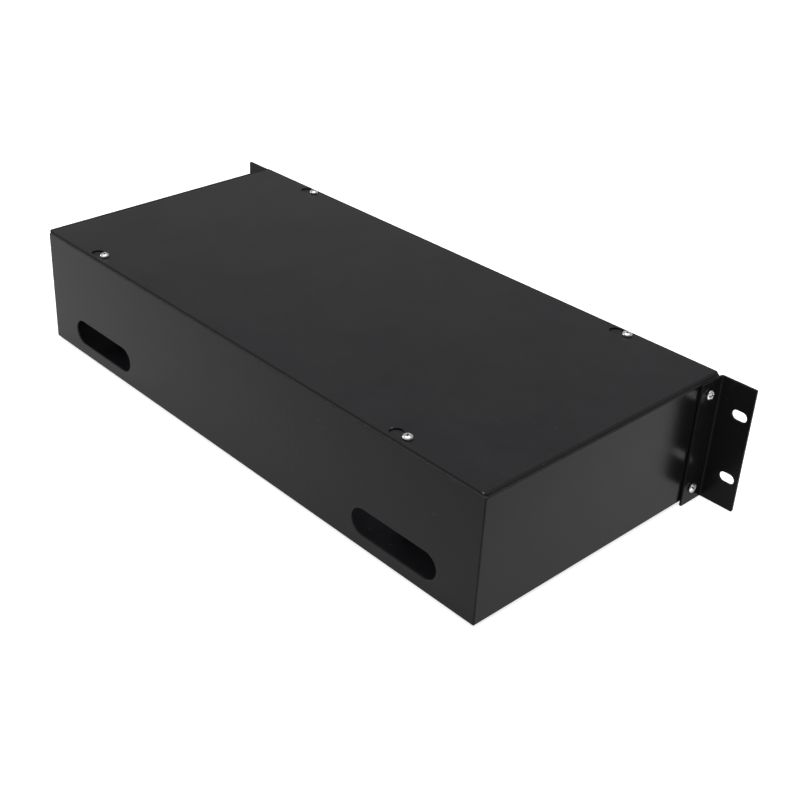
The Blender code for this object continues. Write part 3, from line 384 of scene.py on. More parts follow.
def mathNode(tree, operation, *values):
    return addNode(tree, "ShaderNodeMath", dict(enumerate(values)), operation=operation).outputs["Value"]


def mapRange(tree, value, low, high, start=0.0, end=1.0, kind="LINEAR"):
    # start where the value is low, end where it is high
    limits = {"Value": value, "From Min": low, "From Max": high, "To Min": start, "To Max": end}
    return addNode(tree, "ShaderNodeMapRange", limits, interpolation_type=kind).outputs["Result"]


def mixNumbers(tree, share, low, high):
    # low where the share is 0 and high where it is 1
    return mapRange(tree, share, 0.0, 1.0, low, high)


def noiseNode(tree, place, scale, detail, roughness=0.5, distortion=0.0):
    values = {"Vector": place, "Scale": scale, "Detail": detail, "Roughness": roughness, "Distortion": distortion}
    return addNode(tree, "ShaderNodeTexNoise", values).outputs["Fac"]


def objectPlace(tree):
    return addNode(tree, "ShaderNodeTexCoord").outputs["Object"]


def newGroup(name, numbers):
    # an empty group and the outputs of its input node, one for each number
    group = bpy.data.node_groups.new(name, "ShaderNodeTree")
    for label, value in numbers.items():
        socket = group.interface.new_socket(name=label, in_out="INPUT", socket_type="NodeSocketFloat")
        socket.default_value = value
    return group, addNode(group, "NodeGroupInput").outputs


def giveOut(group, **values):
    # the group's outputs, by name
    for label in values:
        group.interface.new_socket(name=label, in_out="OUTPUT", socket_type="NodeSocketFloat")
    addNode(group, "NodeGroupOutput", values)
    return group


def makeCoatGrain():
    # the peel of a baked powder coat: soft dimples, finer grit on them, slow cloudy changes and rare pale flecks
    group, given = newGroup("coatGrain", {"Dimples": 900.0, "Grit": 3500.0, "Clouds": 9.0})
    place = objectPlace(group)
    dimples = noiseNode(group, place, given["Dimples"], 2.0, 0.45)
    grit = noiseNode(group, place, given["Grit"], 1.0)
    clouds = noiseNode(group, place, given["Clouds"], 5.0, 0.6)
    height = mathNode(group, "MULTIPLY_ADD", grit, 0.3, dimples)
    specks = addNode(group, "ShaderNodeTexVoronoi", {"Vector": place, "Scale": 260.0, "Randomness": 1.0})
    spot = mapRange(group, specks.outputs["Distance"], 0.10, 0.03)
    chance = addNode(group, "ShaderNodeSeparateColor", {"Color": specks.outputs["Color"]}).outputs["Red"]
    fleck = mathNode(group, "MULTIPLY", spot, mathNode(group, "GREATER_THAN", chance, 0.93))
    return giveOut(group, Height=height, Cloud=clouds, Fleck=fleck)


def makeEdgeRub():
    # where the coat is thin: the rims marked in the mesh, broken up by noise; and the rims themselves, which carry
    # the painted shade and painted light of cut edges and recesses
    group, given = newGroup("edgeRub", {"Break": 220.0, "Reach": 0.5})
    mark = addNode(group, "ShaderNodeAttribute", attribute_name="edge", attribute_type="GEOMETRY").outputs["Fac"]
    broken = mathNode(group, "MULTIPLY", mark, noiseNode(group, objectPlace(group), given["Break"], 4.0, 0.65))
    return giveOut(group, Rub=mapRange(group, broken, given["Reach"], 0.75), Rim=mark)


def makeEdgeBand():
    # 1 at the edges of a box about (0, Middle Y), at its top and its bottom, falling to 0 at Width from
    # them. The width wavers with a noise.
    # the coats lay painted light and painted shade along this band
    group, given = newGroup("edgeBand", {
        "Half X": 1.0, "Half Y": 1.0, "Middle Y": 0.0, "Top": 1.0, "Bottom": -1.0, "Width": 0.001})
    place = objectPlace(group)
    x, y, z = addNode(group, "ShaderNodeSeparateXYZ", {0: place}).outputs
    acrossX = mathNode(group, "ABSOLUTE", x)
    acrossY = mathNode(group, "ABSOLUTE", mathNode(group, "SUBTRACT", y, given["Middle Y"]))
    pairs = ((given["Half X"], acrossX), (given["Half Y"], acrossY), (given["Top"], z), (z, given["Bottom"]))
    nearest = 1000.0
    for reach, value in pairs:
        nearest = mathNode(group, "MINIMUM", nearest, mathNode(group, "SUBTRACT", reach, value))
    waver = mixNumbers(group, noiseNode(group, place, 180.0, 3.0), 0.7, 1.3)
    width = mathNode(group, "MULTIPLY", given["Width"], waver)
    return giveOut(group, Band=mapRange(group, nearest, 0.0, width, 1.0, 0.0, "SMOOTHSTEP"))


def makeChips():
    # small spots where the coat is knocked off: 1 within Size of each place, with a ragged outline
    group, given = newGroup("chips", {"Size": 0.0009})
    place = objectPlace(group)
    ragged = mixNumbers(group, noiseNode(group, place, 1400.0, 3.0), 0.5, 1.5)
    size = mathNode(group, "MULTIPLY", given["Size"], ragged)
    chip = 0.0
    for spot in chipPlaces():
        away = addNode(group, "ShaderNodeVectorMath", {0: place, 1: spot}, operation="DISTANCE").outputs["Value"]
        chip = mathNode(group, "MAXIMUM", chip, mathNode(group, "LESS_THAN", away, size))
    return giveOut(group, Chip=chip)


def chipPlaces():
    # beside the cover's near rear corner, and on the rim of one rear keyhole, the first cover screw's
    top = coverHigh[2]
    spots = [(coverLow[0] + chipReach["inset"] + step, coverHigh[1] - chipReach["fromRear"], top)
             for step in (0, chipReach["step"])]
    for number, angle in chipReach["rims"]:
        x, y, z = middleOf(f"cover_screw_{number}")
        atWide = angle < 1
        centre = x + chipReach["pitch"] * atWide
        radius = chipReach["wide"] if atWide else chipReach["slot"]
        spots.append((centre + radius * math.cos(angle), y + radius * math.sin(angle), top))
    return spots


def makeFineDust():
    # settled dust: more on faces that look up, in soft patches
    group, given = newGroup("fineDust", {"Patch": 30.0, "Amount": 1.0})
    patches = mapRange(group, noiseNode(group, objectPlace(group), given["Patch"], 8.0, 0.7), 0.35, 0.75)
    normal = addNode(group, "ShaderNodeNewGeometry").outputs["Normal"]
    facing = addNode(group, "ShaderNodeSeparateXYZ", {0: normal}).outputs["Z"]
    upward = mapRange(group, facing, -0.2, 1.0, 0.15, 1.0)
    dust = mathNode(group, "MULTIPLY", mathNode(group, "MULTIPLY", upward, patches), given["Amount"])
    return giveOut(group, Dust=dust)


def makeBrushed():
    # fine lines drawn out along one axis, and blotches of a thin plated layer
    group, given = newGroup("brushed", {"Along": 40.0, "Across": 2600.0, "Blotch": 500.0})
    place = objectPlace(group)
    scale = addNode(group, "ShaderNodeCombineXYZ", {"X": given["Along"], "Y": given["Across"], "Z": given["Across"]})
    lines = addNode(group, "ShaderNodeVectorMath", {0: place, 1: scale.outputs["Vector"]}, operation="MULTIPLY")
    height = noiseNode(group, lines.outputs["Vector"], 1.0, 3.0)
    return giveOut(group, Height=height, Blotch=noiseNode(group, place, given["Blotch"], 3.0, 0.6))


def makeMoulded():
    # the spark-eroded texture of a plastic mould, and the faint flow marks in the plastic
    group, given = newGroup("moulded", {"Grain": 2400.0, "Flow": 60.0})
    place = objectPlace(group)
    grain = noiseNode(group, place, given["Grain"], 2.0, 0.6)
    return giveOut(group, Height=grain, Flow=noiseNode(group, place, given["Flow"], 3.0, 0.5, 0.6))


chipReach = dict(
    inset=2.4 * mm, fromRear=0.5 * mm, step=0.7 * mm,
    pitch=8.5 * mm, wide=4.6 * mm, slot=2.4 * mm, rims=((1, -0.15), (1, 2.2), (1, 2.6)),
)
coatGrain = makeCoatGrain()
edgeRub = makeEdgeRub()
edgeBand = makeEdgeBand()
chips = makeChips()
fineDust = makeFineDust()
brushed = makeBrushed()
moulded = makeMoulded()


def newMaterial(name):
    material = bpy.data.materials.new(name)
    material.use_nodes = True
    tree = material.node_tree
    return material, tree, tree.nodes["Principled BSDF"]


def useGroup(tree, group, **values):
    return addNode(tree, "ShaderNodeGroup", node_tree=group, inputs=values).outputs


def mixColours(tree, share, first, second):
    # sockets 6 and 7 of a mix node are its two colours, and its output 2 is the mixed one
    ends = [value if isinstance(value, bpy.types.NodeSocket) else (*value, 1.0) for value in (first, second)]
    return addNode(tree, "ShaderNodeMix", {0: share, 6: ends[0], 7: ends[1]}, data_type="RGBA").outputs[2]


def twoTones(tree, share, look, spread):
    # colour and roughness: from darker to lighter with the share, and from spread below to spread above
    colour = mixColours(tree, share, look["darker"], look["lighter"])
    return colour, mixNumbers(tree, share, look["roughness"] - spread, look["roughness"] + spread)


def finish(tree, shader, colour, roughness, height, depth):
    # a height of 1 stands depth above one of 0
    bump = addNode(tree, "ShaderNodeBump", {"Height": height, "Strength": 1.0, "Distance": depth})
    for label, value in (("Base Color", colour), ("Roughness", roughness), ("Normal", bump.outputs["Normal"])):
        tree.links.new(value, shader.inputs[label])


def powderCoat(name, look):
    # a clouded black, and one layer over the other: dust, the bands' painted light and painted shade, the rims'
    # tones (painted shade on the cover, painted light on the ears), rubbed metal, flecks and chips
    material, tree, shader = newMaterial(name)
    grain = useGroup(tree, coatGrain, Dimples=look["dimples"], Grit=look["grit"], Clouds=look["clouds"])
    rub = useGroup(tree, edgeRub, Break=look["rubBreak"], Reach=look["rubReach"])
    dust = useGroup(tree, fineDust, Patch=look["dustPatch"], Amount=look["dustAmount"])["Dust"]
    band = useGroup(tree, edgeBand, **look["band"])["Band"]
    low = useGroup(tree, edgeBand, **look["low"])["Band"]
    chip = useGroup(tree, chips, Size=look["chipSize"])["Chip"]
    colour, roughness = twoTones(tree, grain["Cloud"], look, 0.05)
    # the band tones are painted light on the box's top bend, and painted shade on its bottom bend and along the
    # cover's edges
    layers = dict(
        dust=dust, paintedBandTone=band, lowPaintedShade=low, rim=rub["Rim"], rubbed=rub["Rub"], fleck=grain["Fleck"], bare=chip)
    for tone, share in layers.items():
        colour = mixColours(tree, share, colour, look[tone])
    for share in (band, low):
        roughness = mixNumbers(tree, share, roughness, 1.0)
    finish(tree, shader, colour, roughness, grain["Height"], look["peelDepth"])
    shader.inputs["Specular IOR Level"].default_value = look["shine"]
    tree.links.new(chip, shader.inputs["Metallic"])
    return material


def platedMetal(name, look):
    # blotches of two tones, and painted shade in the recess that the mesh marks
    material, tree, shader = newMaterial(name)
    lines = useGroup(tree, brushed, Along=look["along"], Across=look["across"], Blotch=look["blotch"])
    colour, roughness = twoTones(tree, lines["Blotch"], look, 0.08)
    colour = mixColours(tree, useGroup(tree, edgeRub)["Rim"], colour, look["hollow"])
    finish(tree, shader, colour, roughness, lines["Height"], look["lineDepth"])
    shader.inputs["Metallic"].default_value = 1.0
    return material


def mouldedPlastic(name, look):
    # flow marks of two tones under a little dust; clear is the share of light that goes through
    material, tree, shader = newMaterial(name)
    marks = useGroup(tree, moulded, Grain=look["grain"], Flow=look["flow"])
    dust = useGroup(tree, fineDust, Patch=45.0, Amount=look["dustAmount"])["Dust"]
    colour, roughness = twoTones(tree, marks["Flow"], look, 0.06)
    colour = mixColours(tree, dust, colour, plasticDust)
    finish(tree, shader, colour, roughness, marks["Height"], look["grainDepth"])
    shader.inputs["Transmission Weight"].default_value = look.get("clear", 0.0)
    return material


plasticDust = (0.45, 0.44, 0.42)
far = 1.0  # beyond every piece, in metres
nowhere = {"Half X": far, "Half Y": far, "Top": far, "Bottom": -far, "Width": mm}
# the band tone is painted light on the top bend, in the shade under the cover's edge; the low tone is painted shade
# on the bottom bend, where the floor would show in it
bodyCoat = dict(
    darker=(0.0061, 0.0062, 0.0074), lighter=(0.0091, 0.0092, 0.0108), rim=(0.020, 0.020, 0.021),
    rubbed=(0.045, 0.045, 0.048), dust=(0.060, 0.060, 0.062), fleck=(0.11, 0.11, 0.11),
    paintedBandTone=(0.085, 0.085, 0.087), lowPaintedShade=(0.0040, 0.0040, 0.0042), bare=(0.22, 0.22, 0.215),
    roughness=0.20, shine=0.090,
    dimples=900.0, grit=3400.0, clouds=8.0, peelDepth=0.000012,
    rubBreak=260.0, rubReach=0.60, dustPatch=26.0, dustAmount=0.10, chipSize=0.00055,
    band=dict(nowhere, Top=bodyHigh[2], Width=1.6 * mm), low=dict(nowhere, Bottom=bodyLow[2], Width=1.2 * mm),
)
coverHalf, coverMiddle = (coverHigh - coverLow) / 2, (coverHigh + coverLow) / 2
# the band tone in its matt band is painted shade along the cover's edges, and the rim tone is painted shade on its
# cut edge
coverCoat = dict(
    bodyCoat, darker=(0.0088, 0.0090, 0.0106), lighter=(0.0128, 0.0131, 0.0152),
    paintedBandTone=(0.0150, 0.0150, 0.0160), rim=(0.010, 0.010, 0.011),
    roughness=0.36, shine=0.25, peelDepth=0.000014, dustAmount=0.12,
    band={**nowhere, "Half X": coverHalf[0] - 1.6 * mm, "Half Y": coverHalf[1], "Middle Y": coverMiddle[1],
          "Width": 1.6 * mm},
)
# painted light: a far lighter, matt copy of the cover's coat for the flange under the cover, so that it looks lit
# where the keyholes show it in their shade
flangePaintedLightCoat = dict(
    coverCoat, darker=(0.034, 0.034, 0.035), lighter=(0.044, 0.044, 0.045), roughness=0.8, shine=0.0,
    band=nowhere, low=nowhere,
)
# the rim tone is painted light on the cut edges, the leg's rear edge among them, which lie in shade
earCoat = dict(
    bodyCoat, darker=(0.0100, 0.0100, 0.0104), lighter=(0.0135, 0.0135, 0.0140), rim=(0.042, 0.042, 0.043),
    roughness=0.22, shine=0.055, dustAmount=0.03,
    band=nowhere, low=nowhere,
)
# the recess shade is painted shade in a screw's cross recess
screwMetal = dict(darker=(0.72, 0.72, 0.70), lighter=(0.90, 0.89, 0.87), hollow=(0.03, 0.03, 0.03), roughness=0.34,
                  along=900.0, across=2600.0, blotch=900.0, lineDepth=0.000004)
brassMetal = dict(darker=(0.58, 0.52, 0.36), lighter=(0.78, 0.72, 0.55), hollow=(0.30, 0.27, 0.18), roughness=0.30,
                  along=700.0, across=2600.0, blotch=600.0, lineDepth=0.000006)
zincSheet = dict(darker=(0.42, 0.44, 0.45), lighter=(0.62, 0.64, 0.65), hollow=(0.30, 0.31, 0.32), roughness=0.40,
                 along=300.0, across=2200.0, blotch=180.0, lineDepth=0.000008)
bluePlastic = dict(darker=(0.014, 0.10, 0.44), lighter=(0.022, 0.15, 0.60), roughness=0.38,
                   grain=2200.0, flow=70.0, grainDepth=0.000008, dustAmount=0.04)
whitePlastic = dict(darker=(0.70, 0.70, 0.67), lighter=(0.82, 0.82, 0.80), roughness=0.48,
                    grain=2200.0, flow=90.0, grainDepth=0.000008, dustAmount=0.05)
greyPlastic = dict(darker=(0.47, 0.48, 0.48), lighter=(0.60, 0.61, 0.61), roughness=0.50,
                   grain=1800.0, flow=40.0, grainDepth=0.000012, dustAmount=0.06)
ceramic = dict(darker=(0.80, 0.80, 0.78), lighter=(0.88, 0.88, 0.87), roughness=0.18,
               grain=1500.0, flow=50.0, grainDepth=0.000002, dustAmount=0.0)
clearPlastic = dict(darker=(0.86, 0.90, 0.92), lighter=(0.93, 0.96, 0.97), roughness=0.12,
                    grain=900.0, flow=30.0, grainDepth=0.000003, dustAmount=0.02, clear=0.92)

blackBody = powderCoat("blackBody", bodyCoat)
blackCover = powderCoat("blackCover", coverCoat)
blackFlange = powderCoat("blackFlange", flangePaintedLightCoat)
blackEar = powderCoat("blackEar", earCoat)
brightZinc = platedMetal("brightZinc", screwMetal)
nickelBrass = platedMetal("nickelBrass", brassMetal)
galvanised = platedMetal("galvanised", zincSheet)
adapterBlue = mouldedPlastic("adapterBlue", bluePlastic)
capWhite = mouldedPlastic("capWhite", whitePlastic)
trayGrey = mouldedPlastic("trayGrey", greyPlastic)
lidClear = mouldedPlastic("lidClear", clearPlastic)
ceramicWhite = mouldedPlastic("ceramicWhite", ceramic)
print("materials made")


box = dict(
    sheet=1.2 * mm, bend=1.6 * mm, bendSteps=6, rim=0.3 * mm,
    rearFlange=14.0 * mm, frontFlange=14.0 * mm, sideFlange=9.0 * mm,
    seam=0.6 * mm, mitre=0.6 * mm, mitreStart=0.4,  # mitreStart is a share of a bend
    windowStile=20.0 * mm, windowRail=13.0 * mm, windowCorner=1.5 * mm,
    entryLength=69.5 * mm, entryHeight=18.6 * mm, entryInset=65.0 * mm, entryRise=18.8 * mm,
    screwHole=1.8 * mm,
)


# each fixing hole lies under the middle of the screw that goes through it
coverScrews, earScrews, panelScrews = (
    [middleOf(f"{name}_screw_{n}") for n in range(1, 5)] for name in ("cover", "ear", "panel"))
halfWidth, halfDepth = (bodyHigh - bodyLow)[:2] / 2
boxHeight = bodyHigh[2] - bodyLow[2]


def foldedBox():
    # One flat blank: the floor, four walls and four flanges. A point that lies s beyond the
    # floor's edge goes a quarter circle up, straight up the wall, a quarter circle in, and
    # straight along the flange.
    bend, sheet = box["bend"], box["sheet"]
    floorU, floorV = halfWidth - bend, halfDepth - bend
    curl = bend * quarter
    rise = boxHeight - 2 * bend

    def fold(u, v, depth):
        beyondU, beyondV = np.abs(u) - floorU, np.abs(v) - floorV
        sideWall = beyondU > beyondV
        beyond = np.maximum(np.where(sideWall, beyondU, beyondV), 0)
        lower = np.clip(beyond / bend, 0, quarter)
        upper = np.clip((beyond - curl - rise) / bend, 0, quarter)
        climbed = np.clip(beyond - curl, 0, rise)
        inward = np.maximum(beyond - 2 * curl - rise, 0)
        angle = lower + upper
        out = bend * np.sin(lower) + bend * (np.cos(upper) - 1) - inward + depth * np.sin(angle)
        up = bend * (1 - np.cos(lower)) + climbed + bend * np.sin(upper) - depth * np.cos(angle)
        folded = beyond > 0
        x = np.where(sideWall & folded, np.sign(u) * (floorU + out), u)
        y = np.where(~sideWall & folded, np.sign(v) * (floorV + out), v)
        return np.stack([x + boxMiddle[0], y + boxMiddle[1], up + bodyLow[2]], 1)

    flangeU, flangeV = floorU + 2 * curl + rise, floorV + 2 * curl + rise
    endU = flangeU + box["sideFlange"] - bend
    past = bend - box["seam"]
    relief = curl / 2

    def corner(signU, signV, flangeDepth):
        # from the side wall round the relief to the front or rear wall, flanges mitred
        slope = flangeDepth / box["sideFlange"]
        gap, share = box["mitre"], box["mitreStart"]
        endV = flangeV + flangeDepth - bend
        sideWall = [
            (endU, floorV + bend - flangeDepth - gap),
            (flangeU - curl + share * curl, floorV + bend - gap - share * bend * slope),
            (flangeU - curl, floorV + past),
            (floorU + relief, floorV + past),
            (floorU, floorV),
        ]
        otherWall = [
            (floorU + past, floorV + relief),
            (floorU + past, flangeV - curl),
            (floorU + bend - gap - share * bend / slope, flangeV - curl + share * curl),
            (floorU + bend - box["sideFlange"] - gap, endV),
        ]
        return [(signU * u, signV * v) for u, v in sideWall + otherWall]

    def onWall(across, z):
        return across + curl + (z - bodyLow[2] - bend)

    rear, front = box["rearFlange"], box["frontFlange"]
    outline = corner(1, 1, rear) + corner(-1, 1, rear)[::-1] + corner(-1, -1, front) + corner(1, -1, front)[::-1]
    outlines = [np.array(outline)]
    for side in (-1, 1):
        centre = (side * (halfWidth - box["entryInset"]), onWall(floorV, bodyLow[2] + box["entryRise"]))
        outlines.append(stadiumOutline(centre, box["entryLength"], box["entryHeight"], 32))
    low = -onWall(floorV, bodyHigh[2] - box["windowRail"])
    high = -onWall(floorV, bodyLow[2] + box["windowRail"])
    half = halfWidth - box["windowStile"]
    outlines.append(rectangleOutline((-half, low), (half, high), box["windowCorner"]))
    for x, y, z in coverScrews:
        signV = 1 if y > boxMiddle[1] else -1
        inward = halfDepth - bend - abs(y - boxMiddle[1])
        outlines.append(circleOutline((x - boxMiddle[0], signV * (flangeV + inward)), box["screwHole"]))
    for x, y, z in earScrews:
        sign = 1 if x > 0 else -1
        outlines.append(circleOutline((sign * onWall(floorU, z), y - boxMiddle[1]), box["screwHole"]))
    for x, y, z in panelScrews:
        outlines.append(circleOutline((x - boxMiddle[0], -onWall(floorV, z)), box["screwHole"]))
    creases = []
    steps = np.linspace(0, curl, box["bendSteps"] + 1)
    for axis, floorEdge, wallEnd in ((0, floorU, floorV + past), (1, floorV, floorU + past)):
        for sign in (-1, 1):
            creases += [(axis, sign * (floorEdge + s), wallEnd + 1e-6) for s in steps]
            creases += [(axis, sign * (floorEdge + curl + rise + s), wallEnd + 1e-6) for s in steps]
    return sheetSurface(outlines, sheet, box["rim"], fold, creases)


weld = dict(
    radius=0.62 * mm, inset=0.74 * mm, steps=260, around=20,
    lowerGain=0.08 * mm, gainFrom=48.0, gainTo=66.0,  # heights in mm above the box's underside
    ripple=0.03 * mm, ripplePitch=1.6 * mm, wobble=0.04 * mm, wobblePitch=5.7 * mm,
    # each opening's top and bottom, and how much thinner the bead is there, all in mm
    openings=((79.0, 73.0, 0.42), (50.0, 48.2, 0.30), (29.2, 27.6, 0.34)),
    openingShift=3.1, openingSharpness=3.0, cornerBallGap=0.04 * mm,
)


def ball(centre, radius, around=24, rings=13):
    # rings of radius sin b at height -cos b, b from just over 0 to just under half a turn, closed by two poles
    b = np.linspace(0, math.pi, rings + 2)[1:-1, None]
    points = np.concatenate([ringsAbout(np.sin(b), -np.cos(b), around).reshape(-1, 3), [[0, 0, -1], [0, 0, 1]]])
    return points * radius + np.array(centre), cappedRings(rings, around), 0.0


def cornerWelds():
    # Along each corner runs a bead: a tube, a little thicker in its lower half, and thinner in a
    # few openings with soft ends. Its radius and its middle waver with the height.
    bend = box["bend"]
    z = np.linspace(bodyLow[2] + bend * 0.7, bodyHigh[2] - bend * 0.9, weld["steps"])
    height = (z - bodyLow[2]) / mm
    sharp, around = weld["openingSharpness"], weld["around"]
    parts = []
    for number, (signX, signY) in enumerate(((-1, 1), (1, 1), (-1, -1), (1, -1))):
        radius = weld["radius"] + weld["lowerGain"] * (1 - smoothStep(weld["gainFrom"], weld["gainTo"], height))
        for top, bottom, depth in weld["openings"]:
            above = height - bottom + weld["openingShift"] * number
            below = top - weld["openingShift"] * number - height
            radius = radius - depth * mm / (1 + np.exp(-above * sharp)) / (1 + np.exp(-below * sharp))
        radius = radius + weld["ripple"] * np.sin(2 * math.pi * z / weld["ripplePitch"] + number)
        wobble = weld["wobble"] * np.sin(z / weld["wobblePitch"] + 2 * number)
        centre = np.stack([
            signX * (halfWidth - weld["inset"]) + boxMiddle[0] + wobble,
            signY * (halfDepth - weld["inset"]) + boxMiddle[1] - wobble, np.zeros(len(z))], 1)
        tube = (ringsAbout(radius[:, None], z[:, None], around) + centre[:, None]).reshape(-1, 3)
        ends = [list(range(around)), list(range(len(tube) - around, len(tube)))]
        parts.append((tube, gridQuads(len(z), around, closedColumns=True).tolist() + ends, 0.0))
        cornerX = boxMiddle[0] + signX * (halfWidth - bend)
        cornerY = boxMiddle[1] + signY * (halfDepth - bend)
        for level in (bodyLow[2] + bend, bodyHigh[2] - bend):
            parts.append(ball((cornerX, cornerY, level), bend - weld["cornerBallGap"]))
    return joined(parts)


chassisPiece = addPiece("foldedBox", foldedBox(), blackBody, "box", ["chassis"])
chassisPiece.data.materials.append(blackFlange)
# faces under the cover take the flange's coat with painted light
for face in chassisPiece.data.polygons:
    if face.center.z > bodyHigh[2] - 0.01 * mm and face.normal.z > 0.9:
        face.material_index = 1  # what the cover hides
addPiece("cornerWelds", cornerWelds(), blackBody, "box", weighted=False)
print("folded box made")


cover = dict(
    corner=3.0 * mm, rim=0.35 * mm, slotRadius=2.1 * mm, wideRadius=4.4 * mm, pitch=8.5 * mm,
)


def coverSheet():
    # a flat sheet with round corners and four keyholes
    outlines = [rectangleOutline(coverLow[:2], coverHigh[:2], cover["corner"], 12)]
    for x, y, z in coverScrews:
        outlines.append(keyholeOutline((x, y), cover["slotRadius"], cover["wideRadius"], cover["pitch"]))

    def fold(u, v, depth):
        return np.stack([u, v, coverHigh[2] + depth], 1)

    return sheetSurface(outlines, coverHigh[2] - coverLow[2], cover["rim"], fold)


addPiece("coverSheet", coverSheet(), blackCover, "cover", ["top_cover"])
print("cover made")


ear = dict(
    sheet=1.5 * mm, innerBend=0.6 * mm, bendSteps=8, corner=1.0 * mm, rim=0.2 * mm, worn=0.22, wornReach=3.0 * mm,
    rimShown=0.25,
    slotInset=8.0 * mm, slotSpread=44.45 * mm, slotLength=10.5 * mm, slotHeight=6.8 * mm, screwHole=1.8 * mm,
)


def rackEar(node, sign):
    # The blank's u runs in from the flange's free end, round the bend and back along the leg,
    # and its v is the height.
    low, high = boxOf(node)
    flange, leg, height = high[0] - low[0], high[1] - low[1], high[2] - low[2]
    sheet = ear["sheet"]
    bend = ear["innerBend"] + sheet
    curl = bend * quarter
    inner = min(abs(low[0]), abs(high[0]))
    straight = flange - bend
    length = straight + curl + leg - bend

    def fold(u, v, depth):
        turn = np.clip((u - straight) / bend, 0, quarter)
        back = np.maximum(u - straight - curl, 0)
        x = inner + flange - np.minimum(u, straight) - bend * np.sin(turn) - depth * np.sin(turn)
        y = low[1] + bend * (1 - np.cos(turn)) + back - depth * np.cos(turn)
        return np.stack([sign * x, y, low[2] + v], 1)

    outlines = [rectangleOutline((0, 0), (length, height), ear["corner"])]
    for side in (-1, 1):
        centre = (ear["slotInset"], height / 2 + side * ear["slotSpread"] / 2)
        outlines.append(stadiumOutline(centre, ear["slotLength"], ear["slotHeight"]))
    for x, y, z in earScrews:
        if sign * x > 0:
            outlines.append(circleOutline((straight + curl + (y - low[1] - bend), z - low[2]), ear["screwHole"]))
    creases = [(0, straight + s, height) for s in np.linspace(0, curl, ear["bendSteps"] + 1)]
    creases += [(0, straight + curl / 2 + side * ear["wornReach"], height) for side in (-1, 1)]
    points, faces, mask = sheetSurface(outlines, sheet, ear["rim"], fold, creases)
    fromBend = np.hypot(sign * points[:, 0] - inner - sheet / 2, points[:, 1] - low[1] - sheet / 2)
    worn = ear["worn"] * (1 - smoothStep(0.4, 1.0, fromBend / ear["wornReach"]))
    # the rims carry rimShown of the ear's painted light
    return points, faces, np.maximum(mask * ear["rimShown"], worn)


addPiece("rackEarLeft", rackEar("rack_ear_left", -1), blackEar, "box", ["rack_ear_left"])
addPiece("rackEarRight", rackEar("rack_ear_right", 1), blackEar, "box", ["rack_ear_right"])
print("rack ears made")


panScrew = dict(
    headRadius=3.1 * mm, headHeight=2.3 * mm, rimHeight=0.9 * mm, shankRadius=1.5 * mm, length=6.0 * mm,
    crossWidth=1.05 * mm, crossReach=2.75 * mm, crossDepth=1.3 * mm, crossSoftness=0.16 * mm, armFull=0.72,
    threadPitch=0.5 * mm, threadDepth=0.16 * mm, threadRings=90, edge=0.12 * mm, tip=0.7 * mm, around=72,
)
coverScrew = dict(panScrew, crossWidth=0.95 * mm, crossReach=1.6 * mm, crossDepth=1.2 * mm)


def screwSurface(size, turn):
    # A surface of revolution along +z. The head's top is an ellipse's quarter over its rim, less
    # a cross: its depth falls off beyond half the cross's width and towards the arms' ends. The
    # shank's radius goes up and down once a pitch, a turn round moving it by one pitch.
    radius, top, rim, shankRadius = size["headRadius"], size["headHeight"], size["rimHeight"], size["shankRadius"]
    share = np.concatenate([np.linspace(0.02, 0.80, 26), np.sin(np.linspace(0.93, quarter, 10))])[:, None]
    dome = rim + (top - rim) * np.sqrt(np.clip(1 - share ** 2, 0, 1)) ** 1.15
    around = size["around"]
    x, y, dome = np.moveaxis(ringsAbout(radius * share, dome, around), -1, 0)
    armX = x * math.cos(turn) + y * math.sin(turn)
    armY = -x * math.sin(turn) + y * math.cos(turn)
    half, soft = size["crossWidth"] / 2, size["crossSoftness"] / 2

    def arm(along, across):
        width = 1 - smoothStep(half - soft, half + soft, np.abs(across))
        reach = 1 - smoothStep(size["crossReach"] * size["armFull"], size["crossReach"], np.abs(along))
        return width * reach

    recess = np.maximum(arm(armX, armY), arm(armY, armX))
    head = np.stack([x, y, dome - recess * size["crossDepth"]], -1)
    edge, length, tip = size["edge"], size["length"], size["tip"]
    lower = np.array([(radius, rim * 0.5), (radius, edge), (radius - edge, 0.0), (shankRadius + 0.1 * mm, 0.0)])
    shankZ = np.linspace(-0.1 * mm, -length + 0.5 * mm, size["threadRings"])[:, None]
    phase = 2 * math.pi * (shankZ / size["threadPitch"] + np.arange(around) / around)
    shankR = shankRadius - size["threadDepth"] * (0.5 + 0.5 * np.cos(phase))
    end = np.array([(shankRadius - tip + 0.2 * mm, -length + 0.05 * mm), (shankRadius - tip, -length)])
    rings = np.concatenate([
        head, ringsAbout(lower[:, :1], lower[:, 1:], around), ringsAbout(shankR, shankZ, around),
        ringsAbout(end[:, :1], end[:, 1:], around)])
    points = np.concatenate([rings.reshape(-1, 3), [[0, 0, head[0, :, 2].mean()], [0, 0, -length]]])
    # the mask marks the cross recess and its middle for painted shade
    mask = np.zeros(len(points))
    mask[:recess.size] = recess.ravel()
    mask[-2] = 1.0
    return points, cappedRings(len(rings), around), mask


def seated(surface, node, axis):
    # the screw is turned so that its head looks along the axis, and its top is set on the node's
    points, faces, mask = surface
    low, high = boxOf(node)
    turn = np.array(Vector((0, 0, 1)).rotation_difference(Vector(axis)).to_matrix())
    along = int(np.argmax(np.abs(axis)))
    offset = (low + high) / 2
    offset[along] = (high if axis[along] > 0 else low)[along] - axis[along] * points[:, 2].max()
    return points @ turn.T + offset, faces, mask


def addScrew(name, node, axis, body, turn, size=panScrew):
    addPiece(name, seated(screwSurface(size, turn), node, axis), brightZinc, body, [node],
             weighted=False)


